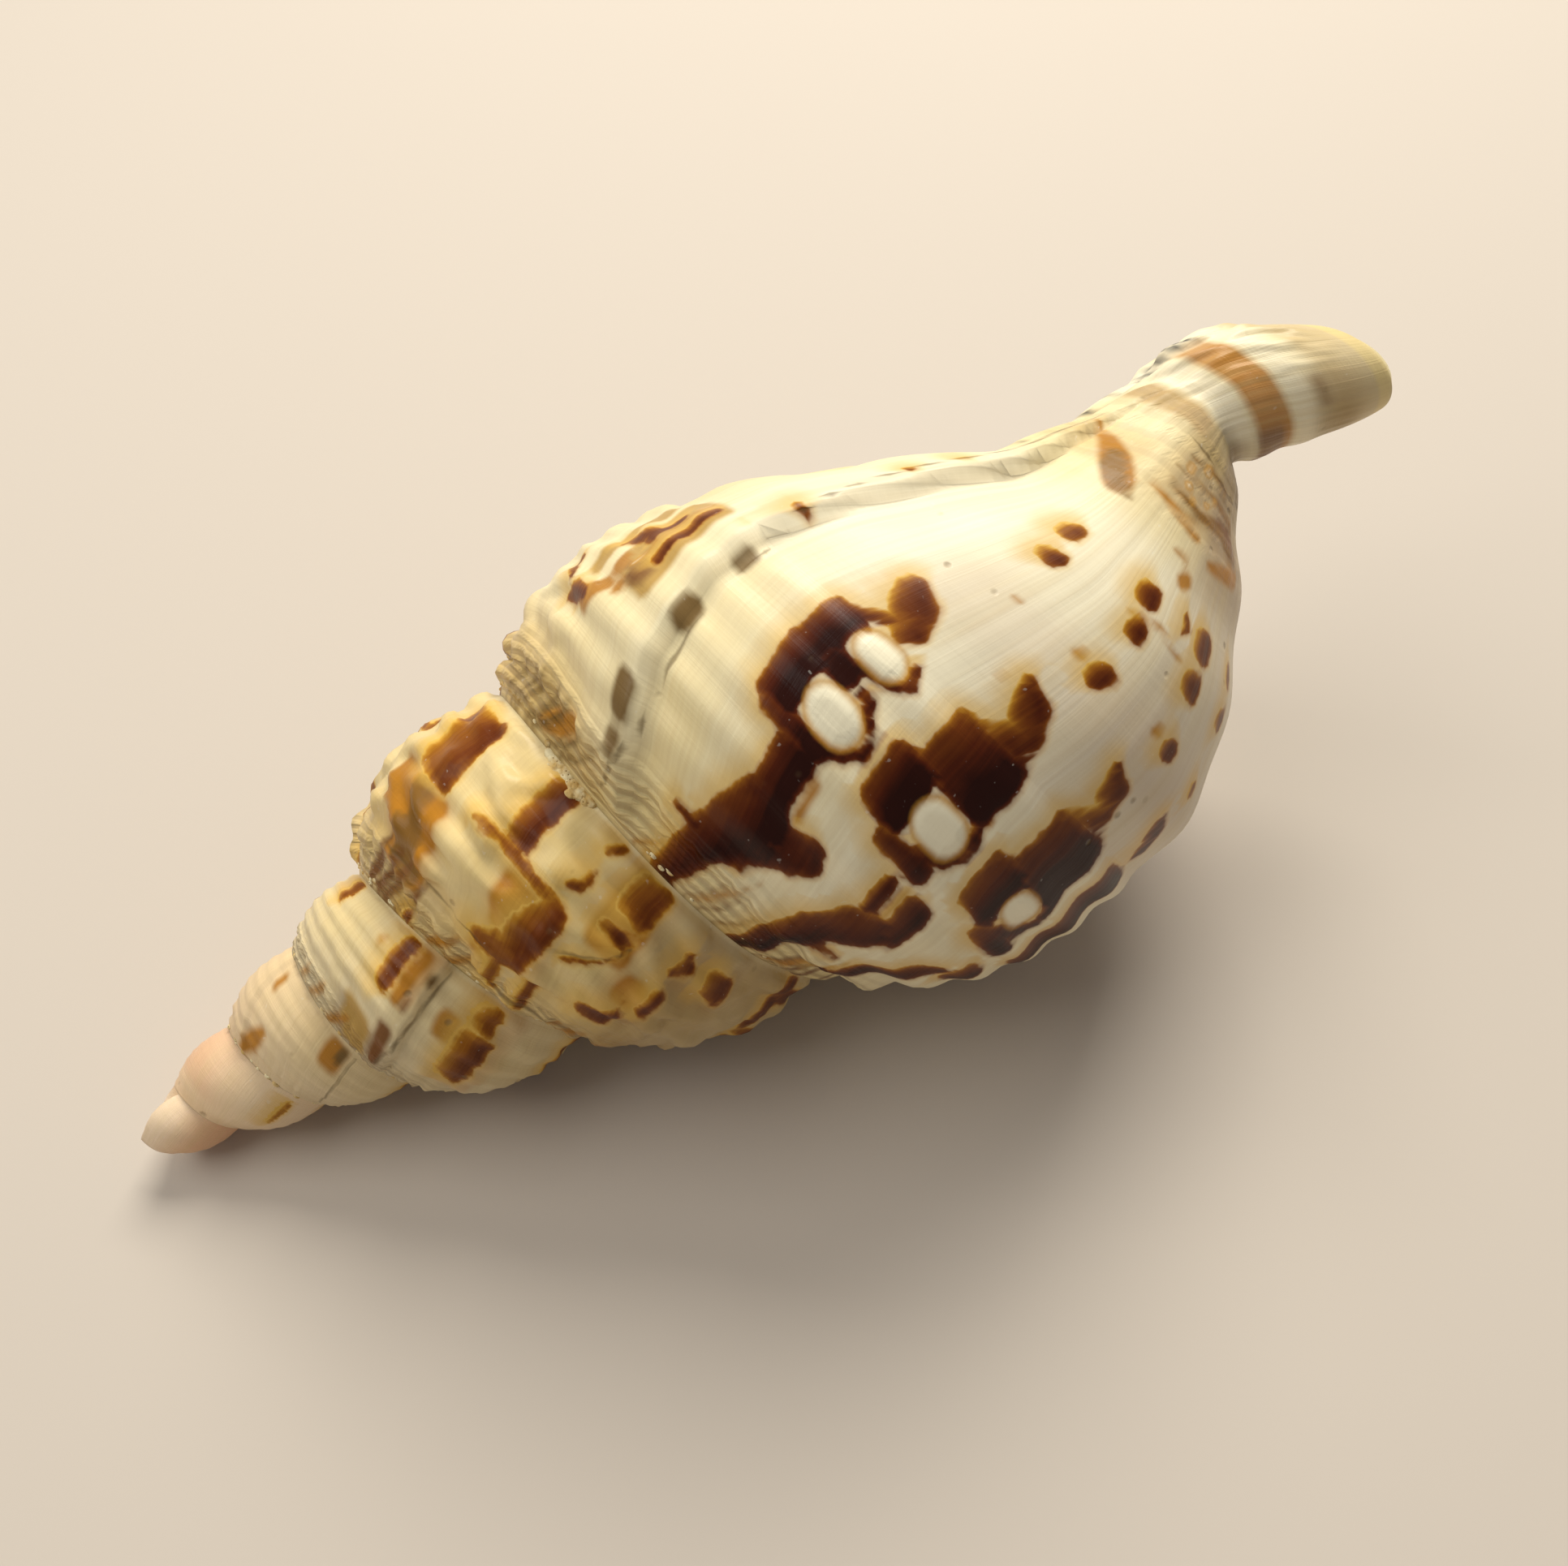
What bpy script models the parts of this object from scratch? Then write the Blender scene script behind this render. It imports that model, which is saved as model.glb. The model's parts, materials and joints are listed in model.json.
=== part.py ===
"""A triton trumpet shell, one grown piece, lying on its side.

Metres, +Z up. The coiling axis runs along +X from the pointed apex to the siphonal
canal. The outer wall is one strip that winds round the axis: its upper edge is the
suture, and its lower edge is welded to the upper edge of the next turn. The last
turn carries on down to the open canal, folds over at the outer lip, and lines the
hollow behind the aperture.
"""
import math

import bpy
import bmesh
import numpy as np

SHELL_NAME = "shell"
COLLECTION_NAME = "triton_trumpet_shell"

# Growth of the suture: turn, distance from the apex along the axis, radius, and how
# far the whorl below bulges, as a part of its height. Rows are half a turn apart.
GROWTH = np.array((
    (0.5, -0.0006, 0.0013, 0.16),
    (1.0, 0.0001, 0.0017, 0.15),
    (1.5, 0.0014, 0.0020, 0.14),
    (2.0, 0.0040, 0.0022, 0.12),
    (2.5, 0.0068, 0.0029, 0.13),
    (3.0, 0.0099, 0.0038, 0.14),
    (3.5, 0.0137, 0.0050, 0.12),
    (4.0, 0.0175, 0.0060, 0.14),
    (4.5, 0.0202, 0.0073, 0.19),
    (5.0, 0.0243, 0.0078, 0.18),
    (5.5, 0.0332, 0.0106, 0.18),
    (6.0, 0.0402, 0.0137, 0.15),
    (6.5, 0.0491, 0.0151, 0.16),
    (7.0, 0.0578, 0.0185, 0.16),
    (7.5, 0.0744, 0.0220, 0.18),
    (8.0, 0.0829, 0.0259, 0.18),
))
LIP_TURN = 6.0 + 300.0 / 360.0
FIRST_TURN = 1.25

# Base of the last turn, from the whorl down to the neck of the canal: turn, reach of
# the first handle, then the second handle and the neck point, each as distance along
# the axis and radius.
BASE = np.array((
    (5.20, 0.0082, 0.0577, 0.0039, 0.0885, 0.0039),
    (5.83, 0.0082, 0.0700, 0.0051, 0.0905, 0.0049),
    (6.00, 0.0104, 0.0795, 0.0069, 0.0921, 0.0048),
    (6.25, 0.0120, 0.0889, 0.0080, 0.0952, 0.0049),
    (6.50, 0.0128, 0.0928, 0.0118, 0.0958, 0.0045),
    (6.83, 0.0125, 0.0941, 0.0125, 0.0961, 0.0049),
))
NECK = 0.55
BEND_START = 0.0780
CANAL_SIDE = 0.0047
CANAL_RETURN = 0.0032
CANAL_BACK = -0.0012
SPIRE_SIDE = 0.0008
SPIRE_END = 0.0265
CANAL_TIP = 0.1083
CANAL_RADIUS = 0.0052
CANAL_END_RADIUS = 0.0040
SLOT_SHORTER = 0.0090
TIP_SIDE = 0.36

# Columns of points around one turn. They follow the growth lines, which lean back
# by a few columns from the suture to the lower edge of the whorl.
COLUMNS = 48
LEAN_COLUMNS = 5
LEAN = LEAN_COLUMNS / COLUMNS
WHORL_LEAN = ((0.0, 0.0), (0.2, -0.034), (0.5, -0.070), (0.8, -0.094), (1.0, -LEAN))

# Turns of the outer and inner lips beside the base and canal, each pair a place
# across the base (1 to 2) and a change in turns from the lip at the suture.
LIP_LEAN = ((1.0, -LEAN), (1.25, -0.125), (1.55, -0.100), (1.75, -0.045), (2.0, -0.030))
INNER_LIP_LEAN = ((1.0, 0.0), (1.55, 0.070), (1.75, 0.083), (2.0, 0.083))

# Old lips left standing as ridges: columns back from the lip, and height.
VARICES = ((0, 0.0016), (28, 0.0013), (58, 0.0012), (87, 0.0009),
           (118, 0.0006), (145, 0.0004), (174, 0.0003))
VARIX_COLUMNS = 4
VARIX_ACROSS = (0.0, 0.15, 1.3, 1.6)

CORDS_PER_WHORL = 7
CORD_HEIGHT = 0.00022
FULL_CORD_RADIUS = 0.0160
LEAST_CORD = 0.05
WALL = 0.0017
LIP_WALL = 0.0012
HOLLOW_TURNS = 0.5
FIRST_LINED_ROW = 3
CORNER = 0.045
MELT = (1.42, 1.62)
MELT_AHEAD = 0.04
MELTED = 0.93
ROUND_FROM = 1.45
EDGE_AHEAD = 0.0006
APEX_RISE = 0.0006
APEX_RING = 0.62
APEX_RING_RISE = 0.45
SLOPE_STEP = 0.004

ROWS = ((1.75, 3), (2.75, 4), (3.75, 6), (4.75, 8), (5.75, 12), (9.0, 14))
BASE_ROWS = 22

TILT = math.radians(18.0)
DOWN = math.radians(240.0)
FLAT_DEPTH = 0.0005


def smooth(low, high, x):
    t = np.clip((x - low) / (high - low), 0.0, 1.0)
    return t * t * (3.0 - 2.0 * t)


def along_table(x, column):
    """Smooth curve through one column of the growth table."""
    ys = GROWTH[:, column]
    ys = np.concatenate(([2 * ys[0] - ys[1]], ys, [2 * ys[-1] - ys[-2]]))
    t = (np.asarray(x, float) - GROWTH[0, 0]) / (GROWTH[1, 0] - GROWTH[0, 0])
    i = np.clip(np.floor(t).astype(int), 0, len(GROWTH) - 2)
    f = t - i
    a, b, c, d = ys[i], ys[i + 1], ys[i + 2], ys[i + 3]
    return 0.5 * (2 * b + (c - a) * f + (2 * a - 5 * b + 4 * c - d) * f * f
                  + (3 * b - a - 3 * c + d) * f ** 3)


def lean(u, pairs):
    x, y = zip(*pairs)
    return np.interp(u, x, y)


def profile(turn, u):
    """Distance along the axis and radius of the smooth wall at a turn, u across it."""
    turn, u = np.broadcast_arrays(np.asarray(turn, float), np.asarray(u, float))
    s0, r0 = along_table(turn, 1), along_table(turn, 2)
    s1, r1 = along_table(turn + 1, 1), along_table(turn + 1, 2)
    v = np.clip(u, 0.0, 1.0)
    hump = along_table(turn, 3) * np.sin(math.pi * v)
    whorl_s = s0 + (s1 - s0) * v - (r1 - r0) * hump
    whorl_r = r0 + (r1 - r0) * v + (s1 - s0) * hump
    reach, h2s, h2r, ns, nr = (np.interp(turn, BASE[:, 0], BASE[:, k]) for k in range(1, 6))
    drop = math.pi * along_table(turn, 3)
    end_s = s1 - s0 + (r1 - r0) * drop
    end_r = r1 - r0 - (s1 - s0) * drop
    end = np.hypot(end_s, end_r)
    h1s = s1 + reach * end_s / end
    h1r = r1 + reach * end_r / end
    w = np.clip(u - 1.0, 0.0, 1.0)
    t = np.clip(w / NECK, 0.0, 1.0)
    base_s = s1 * (1 - t) ** 3 + 3 * h1s * t * (1 - t) ** 2 + 3 * h2s * t * t * (1 - t) + ns * t ** 3
    base_r = r1 * (1 - t) ** 3 + 3 * h1r * t * (1 - t) ** 2 + 3 * h2r * t * t * (1 - t) + nr * t ** 3
    q = np.clip((w - NECK) / (1.0 - NECK), 0.0, 1.0)
    away = np.abs((turn - TIP_SIDE + 0.5) % 1.0 - 0.5) * 2.0
    tip = CANAL_TIP - SLOT_SHORTER * away ** 2
    canal_s = ns + (tip - ns) * q
    canal_r = nr + (CANAL_RADIUS - nr) * smooth(0.0, 0.4, q)
    canal_r = canal_r + (CANAL_END_RADIUS - CANAL_RADIUS) * q ** 3
    s = np.where(u <= 1.0, whorl_s, np.where(w <= NECK, base_s, canal_s))
    r = np.where(u <= 1.0, whorl_r, np.where(w <= NECK, base_r, canal_r))
    return s, r


def centre(s):
    """The axis is nearly straight, but for the spire and the bent canal."""
    x = np.clip((s - BEND_START) / (CANAL_TIP - BEND_START), 0.0, 1.1)
    side = CANAL_SIDE * smooth(0.0, 0.6, x) - CANAL_RETURN * smooth(0.65, 1.1, x)
    side = side - SPIRE_SIDE * smooth(SPIRE_END, 0.006, s)
    back = CANAL_BACK * x * x
    return side, back


def place(s, r, turn):
    side, back = centre(s)
    angle = 2.0 * math.pi * turn
    return np.stack((s + 0 * r, side + r * np.cos(angle), back + r * np.sin(angle)), -1)


def relief(turn, u):
    """Height of the cords and of the old lips above the smooth wall."""
    size = np.clip(along_table(turn, 2) / FULL_CORD_RADIUS, LEAST_CORD, 1.0)
    cord = -np.cos(2 * math.pi * CORDS_PER_WHORL * u)
    high = CORD_HEIGHT * size * cord * smooth(0.0, 0.1, u) * smooth(1.9, 1.6, u)
    high = high * (1.0 + smooth(0.45, 0.15, u))
    begin, full, fade, gone = VARIX_ACROSS
    across = smooth(begin, full, u) * smooth(gone, fade, u)
    line = turn - lean(np.minimum(u, 1.0), WHORL_LEAN)
    for back, tall in VARICES:
        x = (line - LIP_TURN) * COLUMNS + back
        rise = smooth(-VARIX_COLUMNS, 0.0, x) * (x < 0.5)
        fall = smooth(1.0, 0.0, x) * (x >= 0.5)
        high = high + tall * np.maximum(rise, fall) * across
    return high


def outer_point(turn, u):
    """Point of the outer wall, with its relief."""
    turn, u = np.broadcast_arrays(np.asarray(turn, float), np.asarray(u, float))
    s, r = profile(turn, u)
    sa, ra = profile(turn, np.clip(u - SLOPE_STEP, 0.0, 2.0))
    sb, rb = profile(turn, np.clip(u + SLOPE_STEP, 0.0, 2.0))
    ds, dr = sb - sa, rb - ra
    size = np.hypot(ds, dr) + 1e-12
    high = relief(turn, u)
    return place(s - high * dr / size, r + high * ds / size, turn)


def wall_normal(turn, u):
    """Direction out of the smooth wall, turning straight away from the axis at the canal."""
    a = place(*profile(turn, np.clip(u + SLOPE_STEP, 0, 2)), turn)
    b = place(*profile(turn, np.clip(u - SLOPE_STEP, 0, 2)), turn)
    c = place(*profile(turn + SLOPE_STEP, u), turn + SLOPE_STEP)
    d = place(*profile(turn - SLOPE_STEP, u), turn - SLOPE_STEP)
    n = np.cross(a - b, c - d)
    n = n / (np.linalg.norm(n, axis=-1, keepdims=True) + 1e-12)
    out = np.stack((0 * turn, np.cos(2 * math.pi * turn), np.sin(2 * math.pi * turn)), -1)
    n = n * np.sign(np.sum(n * out, -1, keepdims=True))
    mix = smooth(ROUND_FROM, MELT[1], u)[..., None]
    return n + (out - n) * mix


def inner_point(turn, u, depth):
    """Point of the lining, some depth under the smooth wall."""
    return place(*profile(turn, u), turn) - depth * wall_normal(turn, u)


def growth_line(back, u):
    """Turn of the growth line that lies some turns back from the outer lip."""
    whorl = LIP_TURN - back + lean(np.minimum(u, 1.0), WHORL_LEAN)
    inner = LIP_TURN - 1.0 + lean(u, INNER_LIP_LEAN)
    outer = LIP_TURN + lean(u, LIP_LEAN)
    base = outer + (inner - outer) * back / (1.0 - LEAN)
    return np.where(u <= 1.0, whorl, base)


def rows_at(turn):
    count = next(n for top, n in ROWS if turn < top)
    return np.linspace(0.0, 1.0, count + 1)


class Net:
    """Points and faces of the sheet while it is put together."""

    def __init__(self):
        self.points = []
        self.faces = []

    def add(self, point):
        self.points.append(tuple(float(x) for x in point))
        return len(self.points) - 1

    def along(self, row):
        """Distance of each point of a row along the axis."""
        return [self.points[i][0] for i in row]

    def zip(self, left, left_at, right, right_at):
        """Faces between two rows of points, stepping by the nearer place."""
        i = j = 0
        while i < len(left) - 1 or j < len(right) - 1:
            go_left = i < len(left) - 1
            go_right = j < len(right) - 1
            if go_left and go_right:
                gap = left_at[i + 1] - right_at[j + 1]
                if abs(gap) < 1e-6:
                    self.face(left[i], left[i + 1], right[j + 1], right[j])
                    i += 1
                    j += 1
                    continue
                go_left, go_right = gap < 0, gap > 0
            if go_left:
                self.face(left[i], left[i + 1], right[j])
                i += 1
            else:
                self.face(left[i], right[j + 1], right[j])
                j += 1

    def face(self, *corners):
        ring = [c for k, c in enumerate(corners) if c != corners[k - 1]]
        if len(set(ring)) == len(ring) and len(ring) > 2:
            self.faces.append(ring)


def build_net():
    net = Net()
    last = int(round((LIP_TURN - FIRST_TURN) * COLUMNS))
    half = int(round(HOLLOW_TURNS * COLUMNS))
    inner_lip = last - COLUMNS + LEAN_COLUMNS
    base_at = np.concatenate(((1.0 + CORNER / 2, 1.0 + CORNER),
                              np.linspace(1.0 + 2 * CORNER, 2.0, BASE_ROWS - 1)))

    # The outer strip, column by column.
    columns, places = [], []
    for i in range(last + 1):
        back = (last - i) / COLUMNS
        at = rows_at(LIP_TURN - back)
        if i >= inner_lip:
            at = np.concatenate((at, base_at))
        points = outer_point(growth_line(back, at), at)
        ids = [None] * len(at)
        older = i - COLUMNS + LEAN_COLUMNS
        if older >= 0:
            ids[0] = columns[older][list(places[older]).index(1.0)]
        for k in range(len(at)):
            if ids[k] is None:
                ids[k] = net.add(points[k])
        columns.append(ids)
        places.append(at)
    for i in range(last):
        a, a_at, b, b_at = columns[i], places[i], columns[i + 1], places[i + 1]
        if i + 1 == inner_lip:
            keep = int(np.searchsorted(b_at, 1.0)) + 1
            b, b_at = b[:keep], b_at[:keep]
        net.zip(a, a_at, b, b_at)

    # The blunt apex closes the first turn.
    rim = [columns[i][0] for i in range(COLUMNS - LEAN_COLUMNS + 1)] + columns[0][-2:0:-1]
    cloud = np.array([net.points[i] for i in rim])
    mid = cloud.mean(0)
    peak = mid - np.array((APEX_RISE, 0.0, 0.0))
    inner_rim = []
    for p in cloud:
        q = mid + (p - mid) * APEX_RING
        inner_rim.append(net.add((peak[0] + (q[0] - peak[0]) * APEX_RING_RISE, q[1], q[2])))
    tip = net.add(peak)
    for k in range(len(rim)):
        net.face(rim[k - 1], rim[k], inner_rim[k], inner_rim[k - 1])
        net.face(inner_rim[k - 1], inner_rim[k], tip)

    # Lining of the outer wall, from the lip back into the hollow.
    top = FIRST_LINED_ROW
    at_all = places[last]
    line_at = at_all[top:]
    lining = []
    for k in range(half + 1):
        turn = growth_line(k / COLUMNS, line_at)
        thick = LIP_WALL + (WALL - LIP_WALL) * min(1.0, 4.0 * k / half)
        lining.append([net.add(p) for p in inner_point(turn, line_at, thick)])

    # Parietal wall, columella and the inner side of the canal.
    first_base = len(at_all) - len(base_at)
    corner_row = first_base + 1
    inner_at = at_all[corner_row:]
    joined = smooth(MELT[0] - MELT_AHEAD, MELT[1] - MELT_AHEAD, inner_at) > MELTED
    hook = [columns[inner_lip][corner_row:]]
    edge = growth_line(1.0 - LEAN, inner_at)
    middle = growth_line(half / COLUMNS, inner_at)
    for k in range(1, half + 1):
        f = k / half
        turn = edge - f * HOLLOW_TURNS
        wall = place(*profile(turn, inner_at), turn)
        turn = edge + (middle - edge) * f
        groove = inner_point(turn, inner_at, WALL * min(1.0, 5.0 * f))
        ahead = MELT_AHEAD * f
        melt = smooth(MELT[0] - ahead, MELT[1] - ahead, inner_at)[:, None]
        points = wall + (groove - wall) * melt
        ids = []
        for j in range(len(inner_at)):
            if k == half and joined[j]:
                ids.append(lining[half][corner_row + j - top])
            else:
                ids.append(net.add(points[j]))
        hook.append(ids)
    for k in range(half):
        net.zip(hook[k], inner_at, hook[k + 1], inner_at)
        a = [hook[k][0]] + lining[k]
        b = [hook[k + 1][0]] + lining[k + 1]
        at = np.concatenate(((0.0,), line_at))
        net.zip(a, at, b, at)

    # Closed end of the hollow, a web between its outer and inner sides.
    join = int(np.argmax(joined))
    side_a = lining[half][:corner_row + join - top + 1]
    side_b = hook[half][:join + 1]
    net.zip(side_a, net.along(side_a), side_b, net.along(side_b))

    # Rounded edge of the outer lip, with one row of points along its middle.
    lip, lip_at = columns[last], places[last]
    inside = [hook[0][0]] + lining[0]
    inside_at = np.concatenate(((CORNER,), line_at))
    crest = [columns[inner_lip][first_base]]
    for j in range(1, len(inside)):
        a = np.array(net.points[lip[top + j - 1]])
        b = np.array(net.points[inside[j]])
        turn = growth_line(0.0, line_at[j - 1])
        way = np.array((0.0, -math.sin(2 * math.pi * turn), math.cos(2 * math.pi * turn)))
        crest.append(net.add((a + b) / 2 + EDGE_AHEAD * way))
    net.zip(lip, lip_at, crest, inside_at)
    net.zip(crest, inside_at, inside, inside_at)

    # Rounded end of the canal.
    outer = [columns[i][-1] for i in range(inner_lip, last + 1)]
    inner = [hook[k][-1] for k in range(half)] + [lining[k][-1] for k in range(half, -1, -1)]
    outer_step = np.linspace(0.0, 1.0, len(outer))
    inner_step = np.linspace(0.0, 1.0, len(inner))
    middle = [outer[0]]
    for k in range(1, len(outer) - 1):
        b = np.array([np.interp(outer_step[k], inner_step, [net.points[i][c] for i in inner])
                      for c in range(3)])
        a = np.array(net.points[outer[k]])
        middle.append(net.add((a + b) / 2 + np.array((EDGE_AHEAD, 0.0, 0.0))))
    middle.append(crest[-1])
    net.zip(outer, outer_step, middle, outer_step)
    net.zip(middle, outer_step, inner, inner_step)
    return net


def lay_down(points):
    """Turn the shell with its resting side down and wear small flats on it at z = 0."""
    turn = -math.pi / 2 - DOWN
    y = points[:, 1] * math.cos(turn) - points[:, 2] * math.sin(turn)
    z = points[:, 1] * math.sin(turn) + points[:, 2] * math.cos(turn)
    x = points[:, 0]
    laid = np.stack((x * math.cos(TILT) - z * math.sin(TILT), y,
                     x * math.sin(TILT) + z * math.cos(TILT)), -1)
    low, high = laid.min(0), laid.max(0)
    laid[:, 0] -= (low[0] + high[0]) / 2
    laid[:, 1] -= (low[1] + high[1]) / 2
    laid[:, 2] -= low[2] + FLAT_DEPTH
    laid[:, 2] = np.maximum(laid[:, 2], 0.0)
    return laid


def shell_material():
    material = bpy.data.materials.new("ivory_shell")
    material.use_nodes = True
    surface = material.node_tree.nodes["Principled BSDF"]
    surface.inputs["Base Color"].default_value = (0.80, 0.68, 0.47, 1.0)
    surface.inputs["Roughness"].default_value = 0.32
    surface.inputs["Metallic"].default_value = 0.0
    return material


def main():
    for thing in list(bpy.data.objects):
        bpy.data.objects.remove(thing, do_unlink=True)
    home = bpy.data.collections.new(COLLECTION_NAME)
    bpy.context.scene.collection.children.link(home)
    net = build_net()
    points = lay_down(np.array(net.points))
    mesh = bpy.data.meshes.new(SHELL_NAME)
    mesh.from_pydata([tuple(p) for p in points], [], net.faces)
    work = bmesh.new()
    work.from_mesh(mesh)
    bmesh.ops.triangulate(work, faces=work.faces[:])
    bmesh.ops.recalc_face_normals(work, faces=work.faces[:])
    work.to_mesh(mesh)
    work.free()
    mesh.shade_smooth()
    mesh.materials.append(shell_material())
    shell = bpy.data.objects.new(SHELL_NAME, mesh)
    home.objects.link(shell)


main()
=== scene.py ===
# %% [markdown]
# # A triton trumpet shell
# This is the shell of a large sea snail that lies on its side, with its mouth turned
# away from us. It is about 103 mm long. A snail builds such a shell by adding a narrow
# strip at the lip again and again while its body turns, so everything on it follows
# two directions: **turn**, how far round the axis the lip had come, and **across**,
# from the suture (0) over the whorl (1) down to the tip of the canal (2).
# We build the wall in those two directions, so the ridges, stains and fine lines can
# be placed the way the animal placed them.

# %% Load the measured shell
import json
import math
import bmesh
import bpy
import numpy as np
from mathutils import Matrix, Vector

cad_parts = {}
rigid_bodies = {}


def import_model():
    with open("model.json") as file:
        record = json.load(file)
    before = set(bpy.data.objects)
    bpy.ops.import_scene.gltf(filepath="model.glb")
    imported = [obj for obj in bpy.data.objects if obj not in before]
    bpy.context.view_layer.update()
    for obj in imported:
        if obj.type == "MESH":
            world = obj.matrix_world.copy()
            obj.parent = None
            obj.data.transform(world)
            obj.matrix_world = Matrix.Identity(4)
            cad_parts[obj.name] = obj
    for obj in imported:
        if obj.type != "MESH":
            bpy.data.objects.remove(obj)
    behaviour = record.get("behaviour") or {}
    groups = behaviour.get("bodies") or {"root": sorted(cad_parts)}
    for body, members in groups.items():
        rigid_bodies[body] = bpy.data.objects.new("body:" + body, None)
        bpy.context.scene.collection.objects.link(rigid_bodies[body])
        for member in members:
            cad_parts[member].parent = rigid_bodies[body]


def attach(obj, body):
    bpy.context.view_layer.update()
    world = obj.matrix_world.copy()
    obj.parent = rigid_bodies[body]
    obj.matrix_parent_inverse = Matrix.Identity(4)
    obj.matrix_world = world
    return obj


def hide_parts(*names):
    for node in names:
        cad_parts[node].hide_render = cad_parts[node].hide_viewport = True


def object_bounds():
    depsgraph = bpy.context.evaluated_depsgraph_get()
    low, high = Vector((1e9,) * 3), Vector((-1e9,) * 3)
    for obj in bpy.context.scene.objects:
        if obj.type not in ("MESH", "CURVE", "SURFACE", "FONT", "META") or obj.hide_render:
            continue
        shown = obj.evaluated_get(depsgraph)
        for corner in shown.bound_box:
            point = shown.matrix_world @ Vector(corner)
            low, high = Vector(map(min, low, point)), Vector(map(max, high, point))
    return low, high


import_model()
solid_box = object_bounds()
print("box of the plain solid, mm:", [round(1000 * (b - a), 1) for a, b in zip(*solid_box)])

# %% [markdown]
# ## The growth spiral
# The wall winds round the axis like a paper strip round a cone. One table of rows says
# where the suture is at every half turn, how wide it is there, and how much the whorl
# below it bulges. These are the same numbers that the plain solid was made with, so the
# detailed wall lies on the same form.

# %% Sizes of the wall, in metres
GROWTH = np.array((  # turn, distance along the axis, radius, bulge
    (0.5, -0.0006, 0.0013, 0.16), (1.0, 0.0001, 0.0017, 0.15),
    (1.5, 0.0014, 0.002, 0.14), (2.0, 0.004, 0.0022, 0.12),
    (2.5, 0.0068, 0.0029, 0.13), (3.0, 0.0099, 0.0038, 0.14),
    (3.5, 0.0137, 0.005, 0.12), (4.0, 0.0175, 0.006, 0.14),
    (4.5, 0.0202, 0.0073, 0.19), (5.0, 0.0243, 0.0078, 0.18),
    (5.5, 0.0332, 0.0106, 0.18), (6.0, 0.0402, 0.0137, 0.15),
    (6.5, 0.0491, 0.0151, 0.16), (7.0, 0.0578, 0.0185, 0.16),
    (7.5, 0.0744, 0.022, 0.18), (8.0, 0.0829, 0.0259, 0.18)))
BASE = np.array((  # turn, reach of the 1st handle, 2nd handle and neck along, radius
    (5.2, 0.0082, 0.0577, 0.0039, 0.0885, 0.0039),
    (5.83, 0.0082, 0.07, 0.0051, 0.0905, 0.0049),
    (6.0, 0.0104, 0.0795, 0.0069, 0.0921, 0.0048),
    (6.25, 0.012, 0.0889, 0.008, 0.0952, 0.0049),
    (6.5, 0.0128, 0.0928, 0.0118, 0.0958, 0.0045),
    (6.83, 0.0125, 0.0941, 0.0125, 0.0961, 0.0049)))
LIP_TURN = 6.0 + 300.0 / 360.0
FIRST_TURN = 1.25
HOLLOW_TURNS = 0.5
NECK = 0.55  # the base takes this share of the places from 1 to 2, the canal the rest
BEND_START = 0.078  # from here on the canal bends away from the axis
CANAL_SIDE = 0.0047
CANAL_RETURN = 0.0032
CANAL_BACK = -0.0012
SPIRE_SIDE = 0.0008
SPIRE_END = 0.0265  # the spire stands a little aside up to here
CANAL_TIP = 0.1083
CANAL_RADIUS = 0.0052
CANAL_END_RADIUS = 0.004
SLOT_SHORTER = 0.009  # the canal is this much shorter opposite its longest side
TIP_SIDE = 0.36  # part of a turn where the canal is longest
WALL = 0.0017
LIP_WALL = 0.0012
EDGE_AHEAD = 0.0006  # how far the rounded edge stands out between its two sheets
APEX_RISE = 0.0006  # height of the closed tip over its rim
CORNER = 0.045  # the even rows of the base start this far from the suture
MELT = (1.42, 1.62)  # places across where the columella melts into the lining
MELT_AHEAD = 0.04  # deep inside it melts this much earlier
TILT = math.radians(18.0)  # the axis leans this much against the floor
DOWN = math.radians(240.0)  # this side of the turn is down
FLAT_DEPTH = 0.0005  # the flat resting spot takes this much off
PLAIN_COLUMNS = 48  # columns in one turn of the plain solid
FINER = 4  # the shown wall is this many times finer
COLUMNS = PLAIN_COLUMNS * FINER
LEAN_COLUMNS = 5 * FINER
LEAN = LEAN_COLUMNS / COLUMNS  # turns by which a growth line leans across one whorl
# plain rows across a whorl: up to which turn, how many
ROWS = ((1.75, 3), (2.75, 4), (3.75, 6), (4.75, 8), (5.75, 12), (9.0, 14))
BASE_ROWS = 84
FIRST_LINED_ROW = 3 * FINER
# lean of the growth lines and of the lip: place across, turns
WHORL_LEAN = ((0.0, 0.0), (0.2, -0.034), (0.5, -0.07), (0.8, -0.094), (1.0, -LEAN))
LIP_LEAN = ((1.0, -LEAN), (1.25, -0.125), (1.55, -0.1), (1.75, -0.045), (2.0, -0.03))
INNER_LIP_LEAN = ((1.0, 0.0), (1.55, 0.07), (1.75, 0.083), (2.0, 0.083))
VARICES = (  # old lips: plain columns behind the last lip, height
    (0, 0.0016), (28, 0.0013), (58, 0.0012), (87, 0.0009), (118, 0.0006), (145, 0.0004),
    (174, 0.0003))
VARIX_COLUMNS = 4  # plain columns over which an old lip rises
CORDS_PER_WHORL = 7
CORD_HEIGHT = 0.00022
FACE_CALM = 0.5  # the cords lose this share of their height where we look
BODY_RADIUS = 0.016  # the relief is full from this radius on
STEP = 0.004  # small step for slopes, in turns and across
TINY = 1e-12
TAU = 2.0 * math.pi
VARIX_CREST, VARIX_FOOT = 0.3, 0.6  # columns behind the edge of an old lip
FACE_STARTS, FACE_ENDS = (5.9, 6.15), (6.46, 6.38)  # turns of the side that faces us
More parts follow.
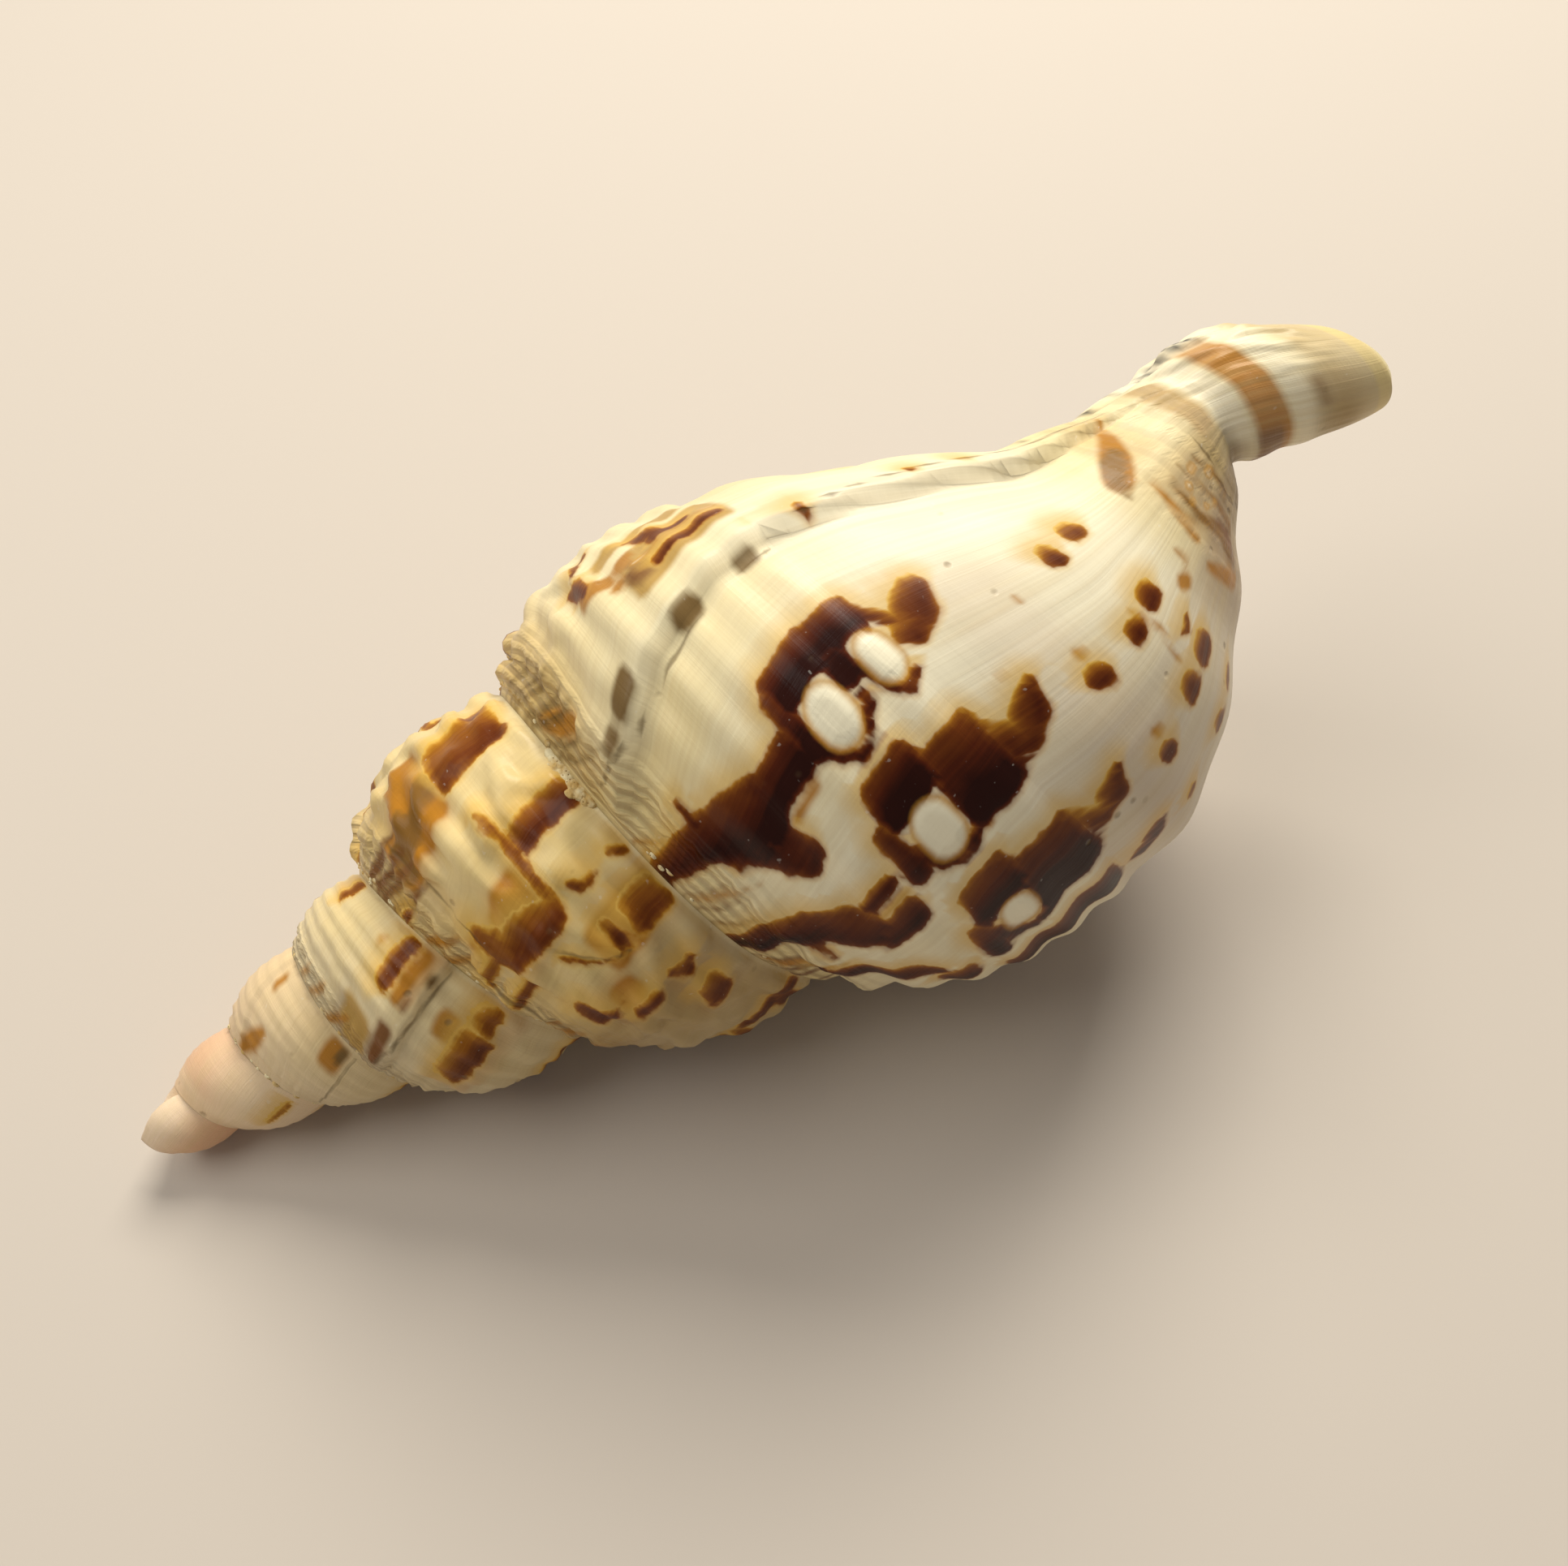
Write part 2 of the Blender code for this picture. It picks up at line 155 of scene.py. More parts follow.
THICKER = 4.0  # the wall has its full thickness after a quarter of the hollow
print("columns round one turn:", COLUMNS)


# %% Follow the growth tables
def smooth(low, high, x):
    t = np.clip((x - low) / (high - low), 0.0, 1.0)
    return t * t * (3.0 - 2.0 * t)


def lean(u, pairs):
    x, y = zip(*pairs)
    return np.interp(u, x, y)


def unit(ways):
    return ways / (np.linalg.norm(ways, axis=-1, keepdims=True) + TINY)


def outward(turn):
    """Direction away from the axis."""
    angle = TAU * turn
    return np.stack((0 * angle, np.cos(angle), np.sin(angle)), -1)


def along_table(x, column):
    """Smooth curve through one column of the growth table."""
    ys = GROWTH[:, column]
    ys = np.concatenate(([2 * ys[0] - ys[1]], ys, [2 * ys[-1] - ys[-2]]))
    t = (np.asarray(x, float) - GROWTH[0, 0]) / (GROWTH[1, 0] - GROWTH[0, 0])
    i = np.clip(np.floor(t).astype(int), 0, len(GROWTH) - 2)
    f = t - i
    a, b, c, d = ys[i], ys[i + 1], ys[i + 2], ys[i + 3]
    return 0.5 * (2 * b + (c - a) * f + (2 * a - 5 * b + 4 * c - d) * f * f
                  + (3 * b - a - 3 * c + d) * f ** 3)


print("suture radius at the lip, mm:", round(float(along_table(LIP_TURN, 2)) * 1000, 1))

# %% [markdown]
# ## One cut across the wall
# At any turn the wall has the same kind of outline: a bulging whorl between two
# sutures, then a base that curves in to the narrow neck, then the straight canal. The
# base is a Bezier curve whose first handle lies on the end of the whorl, which keeps
# the shoulder free of a kink.


# %% Outline of the wall
def profile(turn, u):
    """Distance along the axis and radius of the smooth wall."""
    turn, u = sampled(turn, u)
    s0, r0 = along_table(turn, 1), along_table(turn, 2)
    s1, r1 = along_table(turn + 1, 1), along_table(turn + 1, 2)
    v = np.clip(u, 0.0, 1.0)
    hump = along_table(turn, 3) * np.sin(math.pi * v)
    whorl_s = s0 + (s1 - s0) * v - (r1 - r0) * hump
    whorl_r = r0 + (r1 - r0) * v + (s1 - s0) * hump
    reach, h2s, h2r, ns, nr = (np.interp(turn, BASE[:, 0], BASE[:, k]) for k in range(1, 6))
    drop = math.pi * along_table(turn, 3)
    end_s = s1 - s0 + (r1 - r0) * drop
    end_r = r1 - r0 - (s1 - s0) * drop
    end = np.hypot(end_s, end_r)
    h1s, h1r = s1 + reach * end_s / end, r1 + reach * end_r / end
    w = np.clip(u - 1.0, 0.0, 1.0)
    t = np.clip(w / NECK, 0.0, 1.0)
    b0, b1, b2, b3 = (1 - t) ** 3, 3 * t * (1 - t) ** 2, 3 * t * t * (1 - t), t ** 3
    base_s = s1 * b0 + h1s * b1 + h2s * b2 + ns * b3
    base_r = r1 * b0 + h1r * b1 + h2r * b2 + nr * b3
    q = np.clip((w - NECK) / (1.0 - NECK), 0.0, 1.0)
    away = np.abs((turn - TIP_SIDE + 0.5) % 1.0 - 0.5) * 2.0
    tip = CANAL_TIP - SLOT_SHORTER * away ** 2
    canal_s = ns + (tip - ns) * q
    canal_r = nr + (CANAL_RADIUS - nr) * smooth(0.0, 0.4, q)
    canal_r = canal_r + (CANAL_END_RADIUS - CANAL_RADIUS) * q ** 3
    s = np.where(u <= 1.0, whorl_s, np.where(w <= NECK, base_s, canal_s))
    r = np.where(u <= 1.0, whorl_r, np.where(w <= NECK, base_r, canal_r))
    return s, r


def sampled(turn, u):
    return np.broadcast_arrays(np.asarray(turn, float), np.asarray(u, float))


def centre(s):
    """The axis is nearly straight, but for the spire and the bent canal."""
    x = np.clip((s - BEND_START) / (CANAL_TIP - BEND_START), 0.0, 1.1)
    side = CANAL_SIDE * smooth(0.0, 0.6, x) - CANAL_RETURN * smooth(0.65, 1.1, x)
    side = side - SPIRE_SIDE * smooth(SPIRE_END, 0.006, s)
    return side, CANAL_BACK * x * x


def place(s, r, turn):
    side, back = centre(s)
    angle = TAU * turn
    return np.stack((s + 0 * r, side + r * np.cos(angle), back + r * np.sin(angle)), -1)


print("axis moved aside at the canal tip, mm:", round(float(centre(CANAL_TIP)[0]) * 1000, 1))


# %% Cords and old lips
def relief(turn, u):
    """Height of the cords and of the old lips above the smooth wall."""
    size = np.clip(along_table(turn, 2) / BODY_RADIUS, 0.05, 1.0)
    cord = -np.cos(TAU * CORDS_PER_WHORL * u)
    high = CORD_HEIGHT * size * cord * smooth(0.0, 0.1, u) * smooth(1.9, 1.6, u)
    high = high * (1.0 + smooth(0.45, 0.15, u))
    high = high * (1.0 - FACE_CALM * smooth(*FACE_STARTS, turn) * smooth(*FACE_ENDS, turn))
    line = turn - lean(np.minimum(u, 1.0), WHORL_LEAN)
    for back, tall in VARICES:
        x = (line - LIP_TURN) * PLAIN_COLUMNS + back
        rise = smooth(-VARIX_COLUMNS, 0.0, x) * (x < VARIX_CREST)
        fall = smooth(VARIX_FOOT, VARIX_CREST, x) * (x >= VARIX_CREST)
        high = high + tall * np.maximum(rise, fall) * smooth(0.0, 0.15, u) * smooth(1.6, 1.3, u)
    return high


print("height of the last lip, mm:", round(float(relief(LIP_TURN - 0.07, 0.5)) * 1000, 2))


# %% Points outside and inside the wall
def outer_point(turn, u):
    """Point of the outside, with the relief on it."""
    turn, u = sampled(turn, u)
    s, r = profile(turn, u)
    sa, ra = profile(turn, np.clip(u - STEP, 0.0, 2.0))
    sb, rb = profile(turn, np.clip(u + STEP, 0.0, 2.0))
    ds, dr = sb - sa, rb - ra
    size = np.hypot(ds, dr) + TINY
    high = relief(turn, u)
    return place(s - high * dr / size, r + high * ds / size, turn)


def wall_normal(turn, u):
    turn, u = sampled(turn, u)
    a, b = (place(*profile(turn, np.clip(u + d, 0, 2)), turn) for d in (STEP, -STEP))
    c, d = (place(*profile(turn + d, u), turn + d) for d in (STEP, -STEP))
    n = unit(np.cross(a - b, c - d))
    out = outward(turn)
    n = n * np.sign(np.sum(n * out, -1, keepdims=True))
    return n + (out - n) * smooth(1.45, MELT[1], u)[..., None]


def inner_point(turn, u, depth):
    """Point of the lining, some depth under the smooth wall."""
    return place(*profile(turn, u), turn) - depth * wall_normal(turn, u)


def thickness(back):
    """Thickness of the wall some turns behind the lip."""
    return LIP_WALL + (WALL - LIP_WALL) * min(1.0, THICKER * back / HOLLOW_TURNS)


print("wall at the lip and deep inside, mm:",
      [round(thickness(back) * 1000, 2) for back in (0.0, HOLLOW_TURNS)])


# %% Growth lines and columella
def growth_line(back, u):
    """Turn of the growth line that lies some turns back from the outer lip."""
    whorl = LIP_TURN - back + lean(np.minimum(u, 1.0), WHORL_LEAN)
    inner = LIP_TURN - 1.0 + lean(u, INNER_LIP_LEAN)
    outer = LIP_TURN + lean(u, LIP_LEAN)
    base = outer + (inner - outer) * back / (1.0 - LEAN)
    return np.where(u <= 1.0, whorl, base)


def columella_point(f, u):
    """Wall of the mouth opposite the lip: f 0 at the inner lip, 1 deep inside."""
    edge = growth_line(1.0 - LEAN, u)
    turn = edge - f * HOLLOW_TURNS
    wall = place(*profile(turn, u), turn)
    turn = edge + (growth_line(HOLLOW_TURNS, u) - edge) * f
    groove = inner_point(turn, u, WALL * np.minimum(1.0, 5.0 * f))
    ahead = MELT_AHEAD * f
    melt = smooth(MELT[0] - ahead, MELT[1] - ahead, u)[..., None]
    return wall + (groove - wall) * melt


print("shell outline ready, longest radius mm:",
      round(float(profile(6.3, np.linspace(0, 2, 99))[1].max()) * 1000, 1))

# %% [markdown]
# ## The net of the wall
# The net is one closed sheet: the outside, the rounded lip, the lining behind the
# mouth, the columella and the web that closes the hollow. Every point remembers its
# turn, its place across and which part it belongs to. Along a suture two whorls share
# a row of points, so each face corner keeps its own turn and place. A stain then ends
# at the suture instead of running over to the next whorl.

# %% Collect points and faces
OUTSIDE, LINING, COLUMELLA, EDGE = range(4)


class Net:
    """Samples of the sheet, the vertex that each sample stands on, and the faces."""

    def __init__(self):
        self.points, self.turn, self.across = [], [], []
        self.part, self.deep, self.same, self.faces = [], [], [], []

    def add(self, points, turn, across, part, deep=0.0):
        start = len(self.points)
        for p, t, u in zip(points, np.broadcast_to(turn, len(points)),
                           np.broadcast_to(across, len(points))):
            self.same.append(len(self.points))
            self.points.append(p)
            self.turn.append(float(t))
            self.across.append(float(u))
            self.part.append(part)
            self.deep.append(float(deep))
        return list(range(start, len(self.points)))

    def twin(self, index, turn, across, part, deep=0.0):
        """A second sample on the same vertex, for a sheet that meets it there."""
        new = self.add([self.points[index]], turn, across, part, deep)[0]
        self.same[new] = self.same[index]
        return new

    def face(self, *corners):
        spots = [self.same[c] for c in corners]
        ring = [c for k, c in enumerate(corners) if spots[k] != spots[k - 1]]
        if len({self.same[c] for c in ring}) == len(ring) and len(ring) > 2:
            self.faces.append(ring)

    def zip(self, left, left_at, right, right_at):
        """Faces between two rows of points, stepping by the nearer place."""
        i = j = 0
        while i < len(left) - 1 or j < len(right) - 1:
            go_left = i < len(left) - 1
            go_right = j < len(right) - 1
            if go_left and go_right:
                gap = left_at[i + 1] - right_at[j + 1]
                if abs(gap) < 1e-6:
                    self.face(left[i], left[i + 1], right[j + 1], right[j])
                    i += 1
                    j += 1
                    continue
                go_left = gap < 0
            if go_left:
                self.face(left[i], left[i + 1], right[j])
                i += 1
            else:
                self.face(left[i], right[j + 1], right[j])
                j += 1


def rows_at(turn):
    count = FINER * next(n for top, n in ROWS if turn < top)
    return np.linspace(0.0, 1.0, count + 1)


print("rows on the last whorl:", len(rows_at(LIP_TURN)) - 1)


# %% Weave the outside
def weave_outside(net):
    last = int(round((LIP_TURN - FIRST_TURN) * COLUMNS))
    inner_lip = last - COLUMNS + LEAN_COLUMNS
    base_at = np.concatenate(((1.0 + CORNER / 2,),
                              np.linspace(1.0 + CORNER, 2.0, BASE_ROWS)))
    columns, places = [], []
    for i in range(last + 1):
        back = (last - i) / COLUMNS
        at = rows_at(LIP_TURN - back)
        if i >= inner_lip:
            at = np.concatenate((at, base_at))
        older = i - COLUMNS + LEAN_COLUMNS
        points = outer_point(growth_line(back, at), at)
        if older >= 0:
            seam = columns[older][list(places[older]).index(1.0)]
            first = net.twin(seam, LIP_TURN - back, 0.0, OUTSIDE)
            ids = [first] + net.add(points[1:], LIP_TURN - back, at[1:], OUTSIDE)
        else:
            ids = net.add(points, LIP_TURN - back, at, OUTSIDE)
        columns.append(ids)
        places.append(at)
    for i in range(last):
        a, a_at, b, b_at = columns[i], places[i], columns[i + 1], places[i + 1]
        if i + 1 == inner_lip:
            keep = int(np.searchsorted(b_at, 1.0)) + 1
            b, b_at = b[:keep], b_at[:keep]
        net.zip(a, a_at, b, b_at)
    return columns, places, inner_lip, len(base_at)


net = Net()
columns, places, inner_lip, base_count = weave_outside(net)
print("samples outside:", len(net.points), "columns:", len(columns))

# %% Close the tip of the spire
APEX_RINGS = (0.85, 0.62, 0.35)


def close_apex(net, columns):
    rim = [columns[i][0] for i in range(COLUMNS - LEAN_COLUMNS + 1)] + columns[0][-2:0:-1]
    cloud = np.array([net.points[i] for i in rim])
    mid = cloud.mean(0)
    peak = mid - np.array((APEX_RISE, 0.0, 0.0))
    rings = [rim]
    for share in APEX_RINGS:
        flat = mid + (cloud - mid) * share
        flat[:, 0] = peak[0] + (flat[:, 0] - peak[0]) * share ** 2
        rings.append(net.add(flat, FIRST_TURN, 0.0, OUTSIDE))
    tip = net.add([peak], FIRST_TURN, 0.0, OUTSIDE)[0]
    for outer, inner in zip(rings, rings[1:]):
        for k in range(len(rim)):
            net.face(outer[k - 1], outer[k], inner[k], inner[k - 1])
    for k in range(len(rim)):
        net.face(rings[-1][k - 1], rings[-1][k], tip)


close_apex(net, columns)
print("samples with the tip:", len(net.points))

# %% Weave the inside of the mouth
JOINED = 0.93  # share of melting from which the columella and the lining are one


def weave_mouth(net, columns, places, inner_lip, base_count):
    half = int(round(HOLLOW_TURNS * COLUMNS))
    last = len(columns) - 1
    at_all = places[last]
    line_at = at_all[FIRST_LINED_ROW:]
    lining = []
    for k in range(half + 1):
        turn = growth_line(k / COLUMNS, line_at)
        lining.append(net.add(inner_point(turn, line_at, thickness(k / COLUMNS)),
                              LIP_TURN - k / COLUMNS, line_at, LINING, k / half))
    corner_row = len(at_all) - base_count + 1
    inner_at = at_all[corner_row:]
    joined = smooth(MELT[0] - MELT_AHEAD, MELT[1] - MELT_AHEAD, inner_at) > JOINED
    hook = [[net.twin(i, 0.0, u, COLUMELLA)
             for i, u in zip(columns[inner_lip][corner_row:], inner_at)]]
    for k in range(1, half + 1):
        f = k / half
        points = columella_point(f, inner_at)
        if k < half:
            hook.append(net.add(points, -f * HOLLOW_TURNS, inner_at, COLUMELLA, f))
            continue
        ids = []
        for j, u in enumerate(inner_at):
            if joined[j]:
                spot = lining[half][corner_row + j - FIRST_LINED_ROW]
                ids.append(net.twin(spot, -f * HOLLOW_TURNS, u, COLUMELLA, f))
            else:
                ids += net.add([points[j]], -f * HOLLOW_TURNS, u, COLUMELLA, f)
        hook.append(ids)
    for k in range(half):
        net.zip(hook[k], inner_at, hook[k + 1], inner_at)
        at = np.concatenate(((0.0,), line_at))
        net.zip([hook[k][0]] + lining[k], at, [hook[k + 1][0]] + lining[k + 1], at)
    join = int(np.argmax(joined))
    side_a = lining[half][:corner_row + join - FIRST_LINED_ROW + 1]
    side_b = hook[half][:join + 1]
    net.zip(side_a, [net.points[i][0] for i in side_a],
            side_b, [net.points[i][0] for i in side_b])
    return lining, hook


lining, hook = weave_mouth(net, columns, places, inner_lip, base_count)
print("samples with the mouth:", len(net.points))


# %% Round the edges
def round_the_edges(net, columns, places, inner_lip, base_count, lining, hook):
    lip, lip_at = columns[-1], places[-1]
    line_at = lip_at[FIRST_LINED_ROW:]
    inside = [hook[0][0]] + lining[0]
    inside_at = np.concatenate(((CORNER,), line_at))
    crest = [columns[inner_lip][len(lip_at) - base_count]]
    for j in range(1, len(inside)):
        middle = (net.points[lip[FIRST_LINED_ROW + j - 1]] + net.points[inside[j]]) / 2
        turn = TAU * float(growth_line(0.0, line_at[j - 1]))
        way = np.array((0.0, -math.sin(turn), math.cos(turn)))
        crest += net.add([middle + EDGE_AHEAD * way], LIP_TURN, line_at[j - 1], EDGE)
    net.zip(lip, lip_at, crest, inside_at)
    net.zip(crest, inside_at, inside, inside_at)
    outer = [columns[i][-1] for i in range(inner_lip, len(columns))]
    inner = [row[-1] for row in hook[:-1]] + [row[-1] for row in lining[::-1]]
    outer_step = np.linspace(0.0, 1.0, len(outer))
    inner_step = np.linspace(0.0, 1.0, len(inner))
    inner_points = np.array([net.points[i] for i in inner])
    middle = [outer[0]]
    for k in range(1, len(outer) - 1):
        b = np.array([np.interp(outer_step[k], inner_step, axis) for axis in inner_points.T])
        ahead = np.array((EDGE_AHEAD, 0.0, 0.0))
        middle += net.add([(net.points[outer[k]] + b) / 2 + ahead], LIP_TURN - 0.5, 2.0, EDGE)
    middle.append(crest[-1])
    net.zip(outer, outer_step, middle, outer_step)
    net.zip(middle, outer_step, inner, inner_step)


round_the_edges(net, columns, places, inner_lip, base_count, lining, hook)
print("samples:", len(net.points), "faces:", len(net.faces))


# %% Lay the shell on its side
def lay_down(points):
    """Turn the shell so that its resting side is down."""
    turn = -math.pi / 2 - DOWN
    y = points[:, 1] * math.cos(turn) - points[:, 2] * math.sin(turn)
    z = points[:, 1] * math.sin(turn) + points[:, 2] * math.cos(turn)
    x = points[:, 0]
    return np.stack((x * math.cos(TILT) - z * math.sin(TILT), y,
                     x * math.sin(TILT) + z * math.cos(TILT)), -1)


samples = lay_down(np.array(net.points))
shift = np.array((*solid_box[0][:2], -FLAT_DEPTH)) - samples.min(0)
samples = samples + shift
print("moved onto the plain solid by, mm:", np.round(shift * 1000, 2))

# %% [markdown]
# ## Where the brown marks sit
# The animal's mantle edge laid down pigment in rows. Each time it rested it left a
# column of brown blocks, and between the blocks small ivory ovals stayed bare. We
# describe each mark by its turn and its place across: a *block* by its four limits, a
# *stroke* by a few points with a half-width in millimetres. For every sample we keep
# the signed distance to the nearest mark, how deep its brown is, and how *late* in the
# mark the sample was laid down. Each mark starts as a haze of amber and ends in a crisp
# dark rim, because the glands filled slowly and stopped at once.

# %% Distances on the wall
turn_of = np.array(net.turn)
across_of = np.array(net.across)
part_of = np.array(net.part)
deep_of = np.array(net.deep)
FAR = 4.0  # millimetres
REACH = 0.06  # turns beyond a mark that it can still touch
CORNER_ROUND = 0.6


def wall_scale():
    """Millimetres per turn and per whole step across, at each sample."""
    angle = growth_line(LIP_TURN - turn_of, across_of)
    s, r = profile(angle, across_of)
    sb, rb = profile(angle, np.clip(across_of + 0.01, 0, 2))
    sa, ra = profile(angle, np.clip(across_of - 0.01, 0, 2))
    per_turn = TAU * np.maximum(r, 0.0005) * 1000
    per_step = np.hypot(sb - sa, rb - ra) / 0.02 * 1000
    base = across_of > 1.0
    lip_way = (growth_line(0.0, across_of) - growth_line(1.0 - LEAN, across_of)) / (1.0 - LEAN)
    per_turn = np.where(base, per_turn * np.maximum(lip_way, 0.2), per_turn)
    return per_turn, np.maximum(per_step, 1.0)


MM_TURN, MM_ACROSS = wall_scale()
outside = (part_of == OUTSIDE) | (part_of == EDGE)


def near(turns, places):
    """Samples of the outside close enough to a mark to be touched by it."""
    return np.nonzero(outside
                      & (turn_of > min(turns) - REACH) & (turn_of < max(turns) + REACH)
                      & (across_of > min(places) - 3 * REACH)
                      & (across_of < max(places) + 3 * REACH))[0]


def block_distance(t0, t1, u0, u1, corner=CORNER_ROUND):
    ids = near((t0, t1), (u0, u1))
    x = np.abs(turn_of[ids] - (t0 + t1) / 2) * MM_TURN[ids] - (t1 - t0) / 2 * MM_TURN[ids]
    y = np.abs(across_of[ids] - (u0 + u1) / 2) * MM_ACROSS[ids] - (u1 - u0) / 2 * MM_ACROSS[ids]
    x, y = x + corner, y + corner
    out = np.hypot(np.maximum(x, 0), np.maximum(y, 0)) + np.minimum(np.maximum(x, y), 0)
    return ids, out - corner, (turn_of[ids] - t0) / (t1 - t0)


def stroke_distance(points):
    ids = near([p[0] for p in points], [p[1] for p in points])
    t, u, mt, mu = turn_of[ids], across_of[ids], MM_TURN[ids], MM_ACROSS[ids]
    best = np.full(len(ids), FAR)
    side = np.full(len(ids), 0.5)
    pairs = zip(points, points[1:]) if len(points) > 1 else [(points[0], points[0])]
    for (ta, ua, wa), (tb, ub, wb) in pairs:
        ax, ay = (t - ta) * mt, (u - ua) * mu
        bx, by = (tb - ta) * mt, (ub - ua) * mu
        f = np.clip((ax * bx + ay * by) / (bx * bx + by * by + 1e-9), 0, 1)
        wide = wa + (wb - wa) * f
        gap = np.hypot(ax - f * bx, ay - f * by) - wide
        side = np.where(gap < best, 0.5 + 0.5 * (ax - f * bx) / np.maximum(wide, 0.3), side)
        best = np.minimum(best, gap)
    return ids, best, side


def merge(layer, ids, distance, blend=0.35):
    """Union of a mark with the layer, melted together over a short distance."""
    old = layer[ids]
    h = np.clip(0.5 + 0.5 * (old - distance) / blend, 0, 1)
    layer[ids] = old + (distance - old) * h - blend * h * (1 - h)


print("whorl height at the body, mm:",
      round(float(np.median(MM_ACROSS[(turn_of > 6.2) & (across_of < 1) & outside])), 1))

# %% Dark marks on the side that faces us
DARK_BLOCKS = (  # first and last turn, first and last place across
    (6.331, 6.354, 0.42, 0.64), (6.309, 6.331, 0.645, 1.004), (6.309, 6.348, 0.818, 0.898),
    (6.314, 6.356, 0.62, 0.68),
    (6.411, 6.421, 0.43, 0.57), (6.429, 6.449, 0.4, 0.572), (6.393, 6.431, 0.59, 0.655),
    (6.377, 6.405, 0.645, 0.835), (6.39, 6.439, 0.812, 1.003),
    (6.474, 6.513, 0.59, 0.66), (6.451, 6.48, 0.64, 0.815), (6.465, 6.511, 0.795, 1.002),
    (6.528, 6.556, 0.6, 0.98), (6.5, 6.525, 0.42, 0.54),
    (6.408, 6.427, 1.18, 1.207), (6.397, 6.423, 1.223, 1.254),
    (6.33, 6.352, 1.182, 1.204), (6.32, 6.343, 1.224, 1.25),
    (6.471, 6.496, 1.178, 1.208), (6.472, 6.498, 1.222, 1.26),
    (6.537, 6.556, 1.18, 1.205), (6.54, 6.556, 1.228, 1.258),
    (6.204, 6.212, 0.74, 0.9), (6.221, 6.23, 0.7, 0.98),
    (5.182, 5.236, 0.595, 0.93), (5.294, 5.319, 0.69, 0.975), (5.385, 5.418, 0.805, 0.98),
    (4.322, 4.346, 0.58, 0.975), (4.433, 4.48, 0.39, 0.78), (4.436, 4.47, 0.78, 0.95),
    (5.478, 5.505, 0.765, 0.89), (5.446, 5.458, 0.525, 0.69), (5.384, 5.412, 0.705, 0.765),
)
